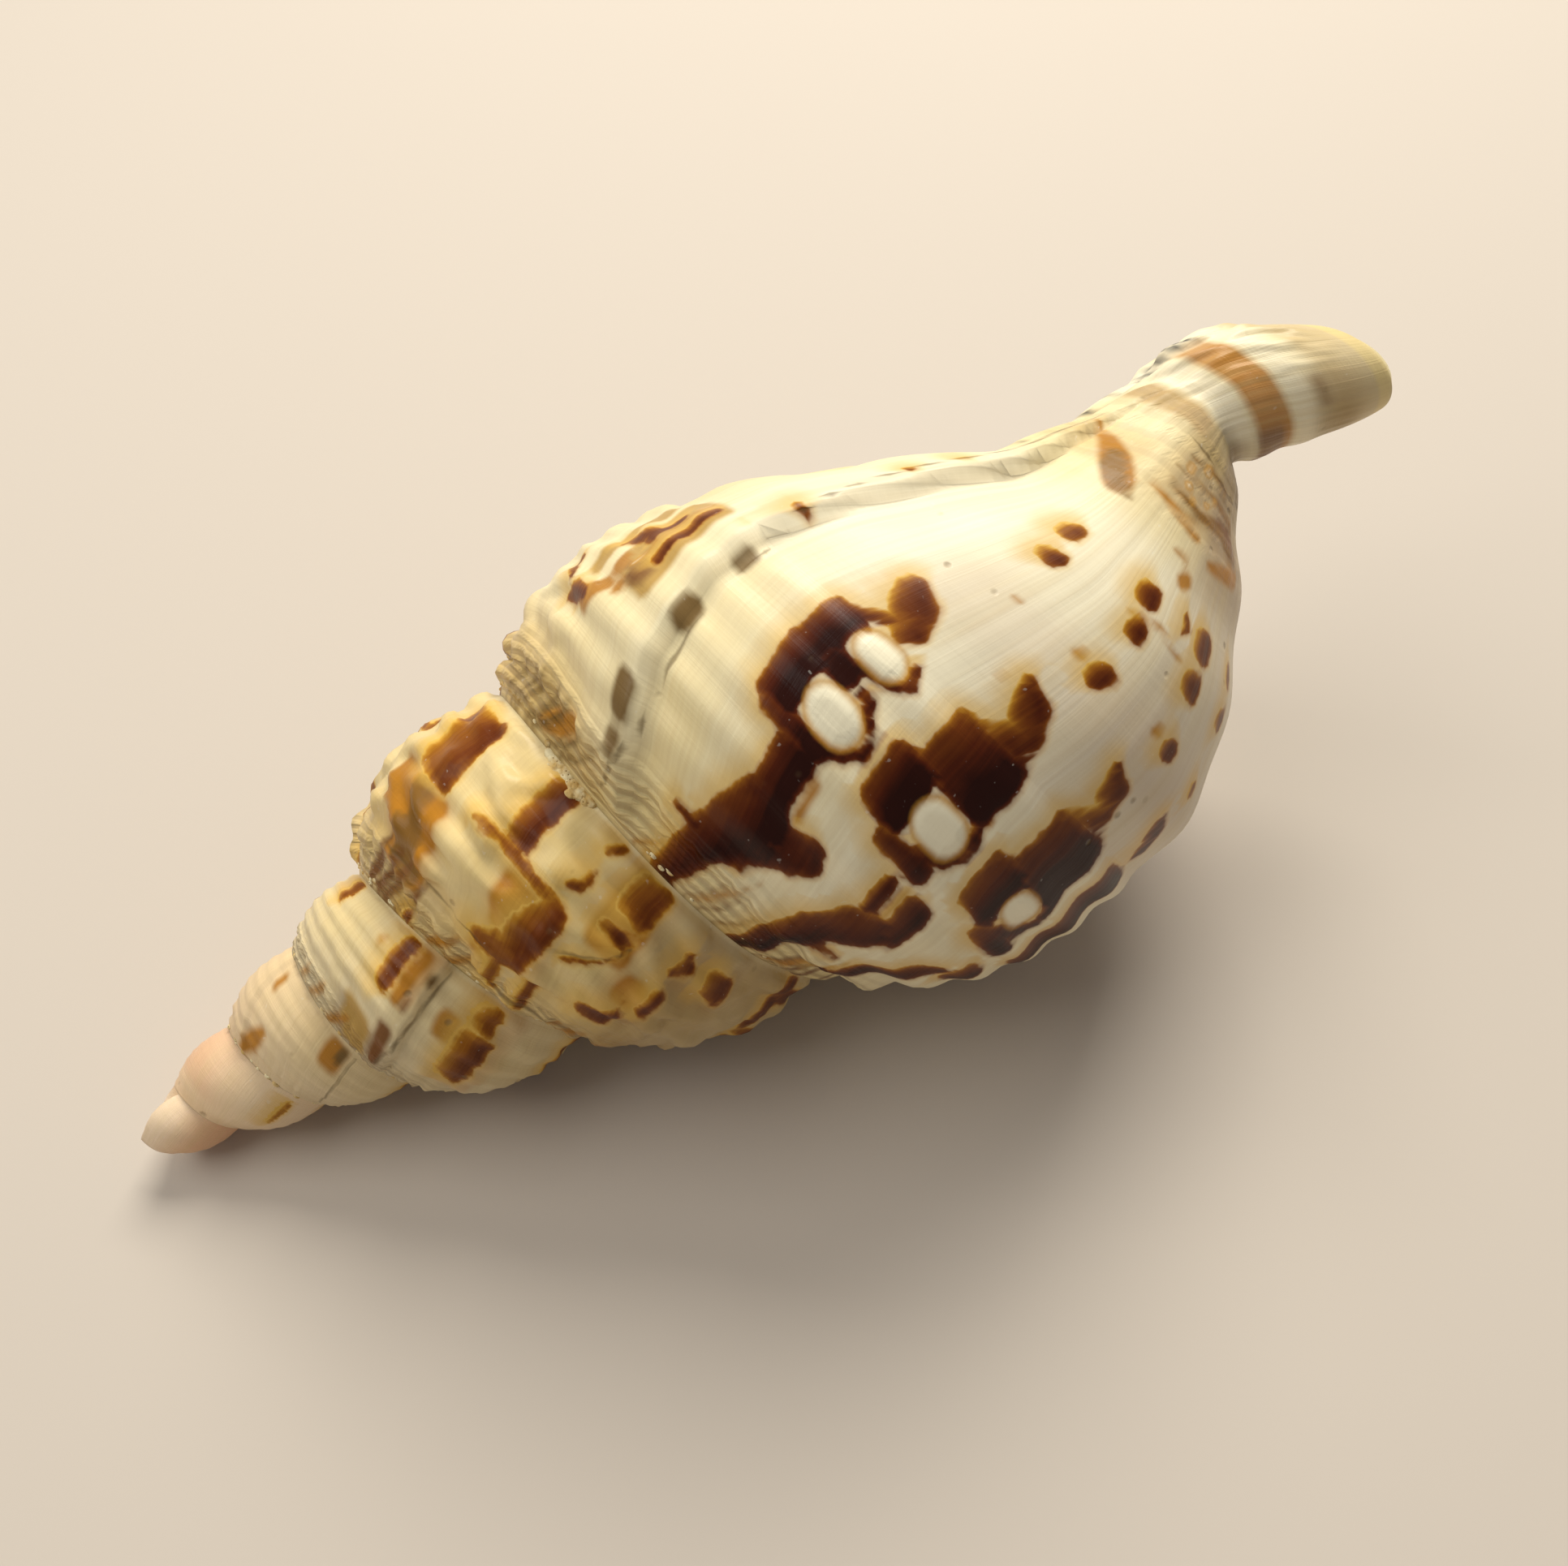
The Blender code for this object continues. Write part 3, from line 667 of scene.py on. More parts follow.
DARK_STROKES = (  # points with turn, place across and half-width in millimetres
    ((6.293, 0.02, 0.9), (6.303, 0.1, 1.2), (6.313, 0.18, 1.3), (6.321, 0.25, 1.6),
     (6.332, 0.32, 2.3), (6.341, 0.38, 2.6), (6.341, 0.45, 1.5)),
    ((6.35, 0.36, 1.1), (6.364, 0.4, 1.4), (6.374, 0.43, 1.1), (6.379, 0.455, 0.4)),
    ((6.293, 0.232, 0.12), (6.318, 0.228, 0.5), (6.345, 0.24, 0.12)),
    ((6.35, 0.668, 0.45), (6.361, 0.692, 0.4), (6.3685, 0.735, 0.38), (6.366, 0.79, 0.4),
     (6.356, 0.845, 0.5)),
    ((6.346, 0.9, 0.35), (6.359, 0.915, 0.36), (6.367, 0.95, 0.4), (6.363, 0.995, 0.3)),
    ((6.376, 0.02, 0.8), (6.385, 0.1, 1.2), (6.392, 0.2, 1.3), (6.404, 0.29, 1.6),
     (6.415, 0.36, 1.7), (6.432, 0.42, 1.2)),
    ((6.405, 0.235, 0.5), (6.432, 0.245, 0.12)),
    ((6.418, 0.662, 0.5), (6.431, 0.69, 0.45), (6.4405, 0.735, 0.42), (6.437, 0.79, 0.6)),
    # This flame is partly a brown mark and partly painted shade and painted reflection.
    ((6.44, 0.16, 0.5), (6.455, 0.26, 0.8), (6.472, 0.36, 0.9), (6.492, 0.45, 0.7)),
    ((6.49, 0.662, 0.5), (6.504, 0.69, 0.5), (6.5125, 0.74, 0.42), (6.508, 0.8, 0.6)),
    ((6.346, 1.024, 0.95), (6.334, 1.042, 1.45), (6.322, 1.062, 0.8)),
    ((6.424, 1.022, 0.9), (6.412, 1.043, 1.35), (6.397, 1.066, 0.5)),
    ((6.49, 1.022, 0.8), (6.48, 1.045, 1.2), (6.468, 1.067, 0.4)),
    ((6.547, 1.022, 0.7), (6.538, 1.045, 0.9), (6.53, 1.062, 0.4)),
    ((6.42, 1.12, 0.95), (6.422, 1.128, 0.95)), ((6.4935, 1.122, 1.0),), ((6.546, 1.11, 0.7),),
    ((6.253, 1.043, 0.6),), ((6.236, 1.175, 0.35),), ((6.23, 1.235, 0.35),),
    ((6.16, 0.44, 0.15), (6.176, 0.475, 0.8), (6.188, 0.495, 0.4)),
    ((6.16, 0.51, 0.3), (6.15, 0.545, 0.5), (6.152, 0.585, 0.4)),
    ((6.178, 0.71, 0.2), (6.194, 0.75, 0.6), (6.204, 0.8, 0.6)),
    ((6.452, 1.232, 0.15), (6.459, 1.243, 0.22), (6.452, 1.256, 0.15)),
    ((5.329, 0.115, 0.5), (5.33, 0.27, 0.6)), ((5.364, 0.105, 0.55), (5.365, 0.29, 0.5)),
    ((5.305, 0.3, 0.6), (5.326, 0.32, 1.3), (5.342, 0.35, 1.1)),
    ((5.336, 0.37, 1.1), (5.344, 0.44, 1.5), (5.35, 0.52, 1.5), (5.355, 0.61, 1.1)),
    ((5.268, 0.645, 0.12), (5.288, 0.668, 0.4), (5.325, 0.662, 0.35), (5.362, 0.645, 0.3)),
    ((5.352, 0.745, 0.15), (5.362, 0.785, 0.4), (5.361, 0.845, 0.2)),
    ((5.36, 0.93, 0.3), (5.366, 0.975, 0.4)), ((5.184, 0.86, 1.1),),
    ((5.215, 0.04, 0.4), (5.222, 0.085, 0.4)),
    ((5.45, 0.77, 0.3), (5.462, 0.82, 0.5), (5.455, 0.87, 0.3)),
    ((5.41, 0.38, 0.6), (5.43, 0.41, 0.9), (5.436, 0.46, 0.6)),
    ((5.376, 0.5, 0.07), (5.39, 0.56, 0.07), (5.402, 0.61, 0.08), (5.416, 0.75, 0.07)),
    ((4.201, 0.8, 0.7), (4.204, 0.92, 0.8)), ((2.475, 0.6, 0.3), (2.48, 0.88, 0.4)),
)
print("dark marks:", len(DARK_BLOCKS), "blocks,", len(DARK_STROKES), "strokes")

# %% Bare ovals
WHITE_BLOCKS = (
    (6.332, 6.364, 0.686, 0.812, 1.7), (6.332, 6.3625, 0.902, 1.002, 1.4),
    (6.404, 6.436, 0.678, 0.8, 1.6), (6.48, 6.504, 0.688, 0.79, 1.2),
)
WHITE_STROKES = (
    ((6.38, 1.43, 0.45),), ((6.391, 1.4, 0.4),), ((6.412, 1.452, 0.45),),
    ((6.43, 1.4, 0.3),), ((6.405, 1.385, 0.28),), ((6.445, 1.42, 0.3),),
    ((6.2135, 0.66, 0.12), (6.2165, 0.8, 0.14), (6.214, 0.99, 0.12)),
)
print("bare ovals:", len(WHITE_BLOCKS) + len(WHITE_STROKES))

# %% Stains with an edge
HONEY, MOSS, STRAW, UMBER, SLATE, GOLD = "b1730f", "6d4e1c", "b8914a", "74410f", "2e2f38", "83591a"
STAIN_BLOCKS = (
    (HONEY, 5.156, 5.246, 0.38, 0.59), (HONEY, 5.176, 5.24, 0.2, 0.4),
    (GOLD, 5.19, 5.23, 0.215, 0.4), (GOLD, 5.202, 5.224, 0.38, 0.62),
    (HONEY, 5.382, 5.42, 0.64, 0.98), (HONEY, 5.424, 5.446, 0.52, 0.66),
    (HONEY, 4.405, 4.436, 0.6, 0.8), (HONEY, 5.3, 5.335, 0.225, 0.3),
    (HONEY, 5.312, 5.356, 0.38, 0.62),
    (HONEY, 5.385, 5.41, 0.745, 0.82), (HONEY, 4.184, 4.212, 0.735, 0.965),
    (HONEY, 4.349, 4.368, 0.58, 0.97), (UMBER, 4.349, 4.374, 0.15, 0.485),
    (UMBER, 4.365, 4.376, 0.58, 0.72), (MOSS, 4.374, 4.386, 0.79, 0.9),
    (STRAW, 4.292, 4.346, 0.065, 0.4), (HONEY, 4.303, 4.309, 0.76, 0.86),
    (HONEY, 3.226, 3.252, 0.7, 0.935), (HONEY, 3.382, 3.432, 0.665, 0.99),
    (MOSS, 3.41, 3.43, 0.8, 0.97),
    (MOSS, 6.243, 6.253, 0.205, 0.285), (MOSS, 6.242, 6.255, 0.305, 0.43),
    (MOSS, 6.256, 6.265, 0.61, 0.72), (MOSS, 6.258, 6.268, 0.855, 0.95),
    (STRAW, 6.196, 6.238, 0.6, 1.0),
)
STAIN_STROKES = (
    (HONEY, (3.212, 0.1, 0.5), (3.24, 0.24, 0.9), (3.265, 0.4, 0.6)),
    (HONEY, (6.357, 1.125, 0.35)), (HONEY, (6.437, 1.287, 0.7)),
    (HONEY, (6.413, 1.311, 0.2), (6.43, 1.314, 0.25)),
    (HONEY, (6.425, 0.45, 0.6), (6.426, 0.56, 0.5)),
    (HONEY, (6.213, 0.58, 0.6)), (HONEY, (6.202, 0.64, 0.9)),
    (HONEY, (6.438, 0.84, 0.5)), (HONEY, (6.36, 0.48, 0.3), (6.357, 0.58, 0.5)),
    (HONEY, (6.225, 1.412, 0.4), (6.255, 1.4, 0.8), (6.29, 1.37, 1.2), (6.32, 1.335, 1.1)),
    (GOLD, (6.282, 1.378, 0.5), (6.297, 1.355, 0.9), (6.315, 1.332, 0.7), (6.34, 1.323, 0.2)),
    (HONEY, (6.405, 1.206, 0.1), (6.432, 1.216, 0.12), (6.462, 1.205, 0.1)),
    (GOLD, (6.365, 1.385, 0.4), (6.42, 1.375, 0.5), (6.47, 1.392, 0.8), (6.51, 1.38, 0.8)),
    (GOLD, (6.36, 1.415, 0.3), (6.41, 1.42, 0.4), (6.46, 1.425, 0.5), (6.5, 1.42, 0.6)),
    (UMBER, (6.46, 1.405, 0.3), (6.49, 1.402, 0.5), (6.51, 1.385, 0.3)),
    (GOLD, (6.37, 1.445, 0.3), (6.42, 1.46, 0.4), (6.47, 1.455, 0.5)),
    (HONEY, (6.388, 1.05, 0.5)), (HONEY, (6.404, 1.128, 0.5)),
    (HONEY, (6.476, 1.128, 0.5)),
    (UMBER, (6.222, 0.655, 1.0)), (UMBER, (6.226, 0.93, 0.8)),
    (HONEY, (6.19, 0.48, 0.8), (6.2, 0.56, 0.7)), (STRAW, (6.176, 0.6, 1.0), (6.182, 0.9, 1.0)),
    (HONEY, (6.35, 1.36, 0.4), (6.39, 1.352, 0.5), (6.43, 1.345, 0.4)),
    (HONEY, (6.46, 1.33, 0.3), (6.52, 1.35, 0.6)),
    (HONEY, (6.155, 0.055, 0.4), (6.185, 0.11, 0.8), (6.212, 0.18, 0.5)),
)
print("stains:", len(STAIN_BLOCKS), "blocks,", len(STAIN_STROKES), "strokes")

# %% Rows of streaks, gaps of the canal rim, and dark lines with painted groove shade
STREAK_SHAPES = (  # colour, steps from the first turn, turns where such a streak starts
    (MOSS, ((0.0, 0.015, 0.16), (0.028, 0.075, 0.2), (0.046, 0.135, 0.16), (0.062, 0.205, 0.05)),
     (6.074, 6.092, 6.105, 6.127, 6.14, 6.166, 6.18)),
    (UMBER, ((0.0, 0.015, 0.3), (0.026, 0.085, 0.42), (0.052, 0.19, 0.4), (0.06, 0.28, 0.12)),
     (5.118, 5.142, 5.16, 5.186)),
    (HONEY, ((0.0, 0.02, 0.25), (0.03, 0.12, 0.3), (0.05, 0.22, 0.1)),
     (5.245, 5.272, 5.388, 5.412, 4.16, 4.2, 4.255, 6.266, 6.276)),
    (UMBER, ((0.0, 0.012, 0.22), (0.016, 0.1, 0.26), (0.024, 0.17, 0.1)),
     (6.318, 6.333, 6.35, 6.402, 6.418, 6.432, 6.462, 6.478)),
    (HONEY, ((0.0, 0.03, 0.3), (0.02, 0.14, 0.4), (0.034, 0.26, 0.15)),
     (6.284, 6.326, 6.41)))
STREAKS = tuple((code, *((t + step, u, wide) for step, u, wide in shape))
                for code, shape, starts in STREAK_SHAPES for t in starts)
RIM_EDGE = ((1.25, 6.172), (1.4, 6.136), (1.5, 6.098), (1.56, 6.072), (1.72, 6.068))
RIM_SLOTS = tuple(  # dark gaps between the white ridges that reach over the canal rim
    (SLATE, (lean(u, RIM_EDGE) - 0.004, u - 0.01, 0.3), (lean(u, RIM_EDGE) + 0.034, u, 0.3),
     (lean(u, RIM_EDGE) + 0.048, u + 0.008, 0.1))
    for u in np.linspace(1.29, 1.7, 12))
DARK_LINES_AND_GROOVE_SHADE = (  # thin dark lines: painted shade in the grooves at the edges of old lips, in the collar crease and along the suture, and growth stops
    ((6.24, 0.1, 0.1), (6.254, 0.22, 0.13), (6.262, 0.36, 0.1), (6.266, 0.55, 0.12),
     (6.268, 0.78, 0.1), (6.267, 0.96, 0.12), (6.258, 1.03, 0.1), (6.243, 1.12, 0.13),
     (6.228, 1.25, 0.11), (6.214, 1.36, 0.13), (6.205, 1.44, 0.05)),
    ((5.148, 0.235, 0.05), (5.235, 0.262, 0.09), (5.338, 0.305, 0.05)),
    ((5.285, 0.1, 0.04), (5.345, 0.104, 0.1), (5.44, 0.098, 0.04)),
    ((5.366, 0.5, 0.04), (5.385, 0.56, 0.08), (5.402, 0.62, 0.09), (5.418, 0.74, 0.04)),
    ((4.369, 0.2, 0.05), (4.384, 0.48, 0.1), (4.391, 0.8, 0.1), (4.392, 0.96, 0.05)),
    ((3.436, 0.2, 0.04), (3.44, 0.6, 0.08), (3.441, 0.95, 0.05)),
    ((1.35, 0.02, 0.03), (2.2, 0.02, 0.05), (3.2, 0.015, 0.06), (4.4, 0.01, 0.07),
     (5.6, 0.008, 0.09), (6.82, 0.006, 0.09)),
    ((6.33, 1.475, 0.05), (6.4, 1.47, 0.1), (6.47, 1.455, 0.14), (6.54, 1.47, 0.16)),
)
print("streaks:", len(STREAKS), "gaps:", len(RIM_SLOTS), "cracks:", len(DARK_LINES_AND_GROOVE_SHADE))

# %% [markdown]
# ## The pattern on the hidden side
# Below and behind, the pattern goes on by its own rule. A new column starts after a
# few millimetres of growth, leans with the growth lines, and holds the same rows of
# blocks. A seeded generator varies the widths and leaves out a block now and then.

# %% Columns of the hidden side
COLUMN_STROKE = ((0.03, 0.7), (0.14, 1.0), (0.26, 1.3), (0.36, 1.9))  # across, half-width
DOT_ROWS = ((1.115, 0.02), (1.193, 0.024), (1.24, 0.028), (1.3, 0.014))  # across, height
HIDDEN_TURNS = ((2.6, 3.08), (3.56, 4.1), (4.56, 5.08), (5.56, 6.04), (6.6, 6.82))
dice = np.random.default_rng(41)


def column_step(turn):
    """Turns between two columns: few broad columns on the spire, many on the body."""
    return float(np.interp(turn, (2.0, 4.0, 5.0, 5.6, 6.8), (0.19, 0.135, 0.115, 0.08, 0.076)))


def rule_column(turn):
    """Blocks, strokes and bare ovals of one column that starts at a turn."""
    size = float(along_table(turn, 2)) / BODY_RADIUS
    step = column_step(turn)
    wide = step * dice.uniform(0.26, 0.36)
    blocks, ovals = [], []
    strokes = [[(turn + step * (0.1 * k + dice.uniform(-0.03, 0.03)), u, w * size)
                for k, (u, w) in enumerate(COLUMN_STROKE)]]
    middle = turn + 0.36 * step
    if dice.random() < 0.85:
        blocks.append((middle, middle + wide * 1.2, 0.4, dice.uniform(0.55, 0.62)))
    bar = turn + 0.14 * step
    blocks.append((bar, bar + wide * 0.8, 0.64, 0.985))
    if dice.random() < 0.8:
        blocks.append((bar, bar + wide * 1.8, 0.6, 0.66))
    blocks.append((bar, bar + wide * 1.9, dice.uniform(0.8, 0.83), dice.uniform(0.89, 1.0)))
    if turn > 5.0 and dice.random() < 0.75:
        oval = bar + wide * 1.35
        ovals.append(((oval, 0.735, 1.7 * size), (oval, 0.76, 1.7 * size)))
        ring = oval + wide * 0.9
        strokes.append([(oval, 0.665, 0.5), (ring, 0.7, 0.5), (ring + 0.004, 0.75, 0.4),
                        (oval + 0.2 * wide, 0.82, 0.6)])
    if turn > 5.85:
        spot = turn + 0.3 * step
        strokes.append([(spot + 0.012, 1.022, 0.8), (spot, 1.045, 1.2), (spot - 0.012, 1.064, 0.5)])
        for u, tall in DOT_ROWS:
            if dice.random() < 0.8:
                blocks.append((spot + 0.005, spot + 0.005 + wide * dice.uniform(0.6, 1.0),
                               u - tall / 2, u + tall / 2))
    return blocks, strokes, ovals


rules = [], [], []
for at_turn, last_turn in HIDDEN_TURNS:
    while at_turn < last_turn:
        for kept, made in zip(rules, rule_column(at_turn)):
            kept += made
        at_turn += column_step(at_turn) * float(dice.uniform(0.9, 1.1))
rule_blocks, rule_strokes, rule_ovals = map(tuple, rules)
print("rule blocks:", len(rule_blocks), "strokes:", len(rule_strokes), "ovals:", len(rule_ovals))

# %% Paint the distance layers
def tint(code):
    """Linear colour from a six-digit screen colour."""
    value = np.array([int(code[k:k + 2], 16) / 255 for k in (0, 2, 4)])
    return np.where(value <= 0.04045, value / 12.92, ((value + 0.055) / 1.055) ** 2.4)


dark, stain, white, crack, closest = (np.full(len(samples), FAR) for _ in range(5))
stain_colour = np.tile(tint(HONEY), (len(samples), 1))
late = np.full(len(samples), 0.5)
depth = np.full(len(samples), 1.0)
DEPTH_BY_TURN = ((3.0, 0.18), (5.2, 0.28), (5.5, 0.4), (5.9, 0.76), (6.1, 0.56), (6.24, 0.6),
                 (6.27, 0.96))
DEPTH_ACROSS = ((1.0, 1.0), (1.1, 0.52), (1.22, 0.5), (1.3, 0.35))
DARK_LINE_BLEND = 0.05


def mark_depth(turn, u):
    """Marks are darkest on the body, lighter on the spire and in the rows of dots."""
    return float(lean(turn, DEPTH_BY_TURN) * lean(u, DEPTH_ACROSS))


def put_mark(ids, distance, side, strength):
    """Add a dark mark; the nearest mark gives its lateness and its depth."""
    nearer = distance < closest[ids]
    hit = ids[nearer]
    closest[hit] = distance[nearer]
    late[hit] = np.clip(side[nearer], 0.0, 1.0)
    depth[hit] = strength
    merge(dark, ids, distance)


def put_stain(code, ids, distance):
    """Add a stain; its colour wins where it is the nearest one."""
    share = smooth(0.6, -0.3, distance)[:, None]
    closer = (distance < stain[ids])[:, None]
    mixed = stain_colour[ids] + (tint(code) - stain_colour[ids]) * np.maximum(share, closer)
    stain_colour[ids] = np.where(closer | (share > 0.5), mixed, stain_colour[ids])
    merge(stain, ids, distance)


for t0, t1, u0, u1 in DARK_BLOCKS + rule_blocks:
    put_mark(*block_distance(t0, t1, u0, u1), mark_depth(t0, (u0 + u1) / 2))
for points in DARK_STROKES + rule_strokes:
    put_mark(*stroke_distance(points), mark_depth(points[0][0], points[-1][1]))
for code, *limits in STAIN_BLOCKS:
    put_stain(code, *block_distance(*limits)[:2])
for code, *points in STAIN_STROKES + STREAKS + RIM_SLOTS:
    put_stain(code, *stroke_distance(points)[:2])
for points in DARK_LINES_AND_GROOVE_SHADE:
    merge(crack, *stroke_distance(points)[:2], DARK_LINE_BLEND)
for limits in WHITE_BLOCKS:
    merge(white, *block_distance(*limits)[:2])
for points in WHITE_STROKES + rule_ovals:
    merge(white, *stroke_distance(points)[:2])
print("share of the wall that is dark:", round(float((dark[outside] < 0).mean()), 3))

# %% [markdown]
# ## The ground colour
# Between the marks the wall is ivory, but not evenly. The tip of the spire is peach,
# the shoulder of each whorl is yellower, the canal has tan and amber bands, and inside
# the mouth it is orange. We lay soft stains over each other like thin washes. A few
# brown washes are painted shade and painted reflection instead.

# %% Soft stains
IVORY, CREAM, SAND = tint("f3e6c0"), tint("ead089"), tint("c9a04c")
PEACH, ROSE, TAN = tint("eab184"), tint("dd9470"), tint("a9803f")
AMBER, OLIVE, LILAC = tint("b67618"), tint("8f7236"), tint("bda491")
PALE, BROWN, BEIGE, ORANGE = tint("fbf1d8"), tint("6a3a10"), tint("cbb07c"), tint("d98a45")
ground = np.tile(IVORY, (len(samples), 1))
WASHES = (  # colour, strength, first and last turn, first and last place, softness of both
    (CREAM, 0.75, 4.5, 9.0, -0.2, 0.2, 0.2, 0.14),
    (PALE, 0.6, 6.22, 6.9, 0.9, 1.3, 0.04, 0.15),
    (PALE, 0.35, 6.37, 6.45, 0.4, 1.0, 0.02, 0.15),
    (CREAM, 0.7, 4.9, 5.95, 0.2, 1.0, 0.1, 0.1),
    (SAND, 0.3, 4.9, 5.95, 0.2, 1.0, 0.1, 0.1),
    (CREAM, 0.35, 5.95, 6.24, 0.2, 1.0, 0.05, 0.1),
    (SAND, 0.5, 4.9, 6.2, 0.0, 0.35, 0.1, 0.1),
    (BEIGE, 0.6, 3.0, 5.0, 0.0, 1.1, 0.3, 0.1),
    (CREAM, 0.3, 3.0, 5.0, 0.5, 1.1, 0.3, 0.2),
    (PEACH, 0.45, 2.1, 3.3, -0.2, 1.2, 0.4, 0.1),
    (PEACH, 0.8, -1.0, 2.15, -0.2, 1.2, 0.3, 0.1),
    (ROSE, 0.35, 1.5, 2.3, 0.3, 1.1, 0.1, 0.1),
    (PALE, 0.45, -1.0, 1.4, -0.2, 1.2, 0.1, 0.1),
    (CREAM, 0.35, 6.262, 6.298, 0.1, 1.0, 0.01, 0.05),
    (CREAM, 0.25, 6.262, 6.345, 0.0, 0.5, 0.01, 0.12),
    (SAND, 0.5, 6.05, 6.24, 0.05, 0.22, 0.02, 0.06),
    (CREAM, 0.45, 6.0, 6.9, 1.3, 1.5, 0.05, 0.03),
    (SAND, 0.5, 6.2, 6.32, 1.36, 1.43, 0.02, 0.02),
    (SAND, 0.5, 6.34, 6.54, 1.345, 1.5, 0.02, 0.02),
    (TAN, 0.8, 6.16, 6.38, 1.485, 1.54, 0.03, 0.01),
    (OLIVE, 0.75, 6.37, 6.75, 1.47, 1.575, 0.03, 0.015),
    (PALE, 0.6, 6.0, 6.44, 1.55, 1.615, 0.04, 0.01),
    (AMBER, 0.95, 6.12, 6.75, 1.63, 1.722, 0.03, 0.012),
    (BROWN, 0.85, 6.43, 6.75, 1.625, 1.7, 0.03, 0.014),
    (PALE, 0.4, 6.0, 6.7, 1.735, 1.79, 0.05, 0.012),
    (BEIGE, 0.75, 6.0, 6.9, 1.83, 2.02, 0.05, 0.03),
    (BROWN, 0.7, 6.315, 6.4, 1.8, 1.835, 0.02, 0.018),
    (OLIVE, 0.6, 6.4, 6.75, 1.79, 1.9, 0.05, 0.03),
    (TAN, 0.4, 6.3, 6.5, 1.79, 1.92, 0.04, 0.04),
    (CREAM, 0.8, 6.0, 6.9, 1.962, 2.02, 0.05, 0.006),
    (PALE, 0.5, 6.03, 6.12, 1.28, 1.72, 0.02, 0.03),
    (LILAC, 0.3, 6.3, 6.6, 1.05, 1.14, 0.03, 0.03),
    # Painted shade on the right edge of the collar.
    (BROWN, 0.45, 6.45, 6.62, 1.3, 1.6, 0.03, 0.03),
    (BROWN, 0.5, 6.365, 6.52, 1.365, 1.46, 0.02, 0.025),
    (AMBER, 0.55, 6.2, 6.3, 1.64, 1.715, 0.03, 0.02),
    (AMBER, 0.7, 5.312, 5.365, 0.36, 0.66, 0.014, 0.04),
    (AMBER, 0.6, 5.165, 5.25, 0.28, 0.6, 0.012, 0.05),
    (AMBER, 0.45, 5.375, 5.425, 0.68, 0.98, 0.01, 0.04),
    (AMBER, 0.45, 5.415, 5.46, 0.42, 0.66, 0.01, 0.05),
    (AMBER, 0.4, 5.45, 5.51, 0.7, 0.9, 0.01, 0.05),
    # Painted shade and painted reflection over the lower side of this whorl, over some real brown marks
    # near its lower suture.
    (BROWN, 0.45, 5.43, 5.62, 0.05, 1.0, 0.03, 0.05),
    (BROWN, 0.55, 4.285, 4.372, 0.0, 0.34, 0.02, 0.05),
    (AMBER, 0.55, 4.345, 4.378, 0.66, 1.0, 0.006, 0.05),
    (AMBER, 0.45, 4.15, 4.215, 0.78, 1.05, 0.015, 0.05),
    (AMBER, 0.4, 4.43, 4.5, 0.3, 1.0, 0.012, 0.05),
    (CREAM, 0.5, 5.95, 6.2, 0.95, 1.35, 0.06, 0.1),
    (LILAC, 0.4, 6.44, 6.62, 0.95, 1.4, 0.04, 0.05),
)


def wash(colour, strength, t0, t1, u0, u1, soft_turn, soft_across):
    """Soft-edged stain over part of the outside."""
    share = strength * outside
    for at, low, high, soft in ((turn_of, t0, t1, soft_turn), (across_of, u0, u1, soft_across)):
        share = share * smooth(low - soft, low + soft, at) * smooth(high + soft, high - soft, at)
    ground[:] = ground + (colour - ground) * share[:, None]


for row in WASHES:
    wash(*row)
print("washes:", len(WASHES))


# %% Inside of the mouth
def blend(first, second, share):
    return first + (second - first) * share[:, None]


def paint_mouth():
    """Orange behind the lip, white further in, brown under the ridges."""
    lined, own, edge = (part_of == part for part in (LINING, COLUMELLA, EDGE))
    inside = blend(PALE, tint("efd2a8"), smooth(0.9, 0.3, deep_of))
    inside = blend(inside, ORANGE, 0.75 * smooth(0.16, 0.02, deep_of))
    ground[lined] = inside[lined]
    glow = blend(tint("e2a267"), PALE, smooth(0.15, 0.55, deep_of))
    under = smooth(1.1, 1.18, across_of) * smooth(1.84, 1.76, across_of)
    glow = blend(glow, tint("3a1c0e"), 0.93 * under * smooth(0.2, 0.1, deep_of))
    ground[own] = glow[own]
    ground[edge] = ground[edge] * 0.4 + tint("e9d3a0") * 0.6
    ground[edge & (across_of > 1.7)] = tint("e8d8a0")


paint_mouth()
print("mean ground colour:", np.round(ground.mean(0), 2))

# %% Brown squares behind the lip
LIP_PAIRS = 9
LIP_ROW = (0.3, 1.52)
LIP_MARK_DEPTHS = (0.018, 0.07)
LIP_MARK_HALF = 0.2
MM_PER_PHASE = 6.0
MM_PER_DEPTH = 60.0


def paint_lip():
    """Brown squares behind the lip, each under one pair of teeth."""
    phase = (across_of - LIP_ROW[0]) / (LIP_ROW[1] - LIP_ROW[0]) * LIP_PAIRS % 1.0
    squares = np.maximum.reduce(((np.abs(phase - 0.5) - (0.5 - LIP_MARK_HALF)) * MM_PER_PHASE,
                                 (deep_of - LIP_MARK_DEPTHS[1]) * MM_PER_DEPTH,
                                 (LIP_MARK_DEPTHS[0] - deep_of) * MM_PER_DEPTH))
    marked = (part_of == LINING) & (across_of > LIP_ROW[0]) & (across_of < LIP_ROW[1])
    dark[marked] = squares[marked]


paint_lip()
print("share of the lining that is dark:", round(float((dark[part_of == LINING] < 0).mean()), 3))

# %% [markdown]
# ## From samples to one mesh
# Samples that stand on the same spot become one vertex, so the sheet is closed. The
# colour and the distances go onto the face corners. Turn and place across also go
# onto the vertices, for the node tree that raises the fine relief.

# %% Make the wall mesh
FIELDS = {"FLOAT": "value", "FLOAT_COLOR": "color", "FLOAT_VECTOR": "vector"}


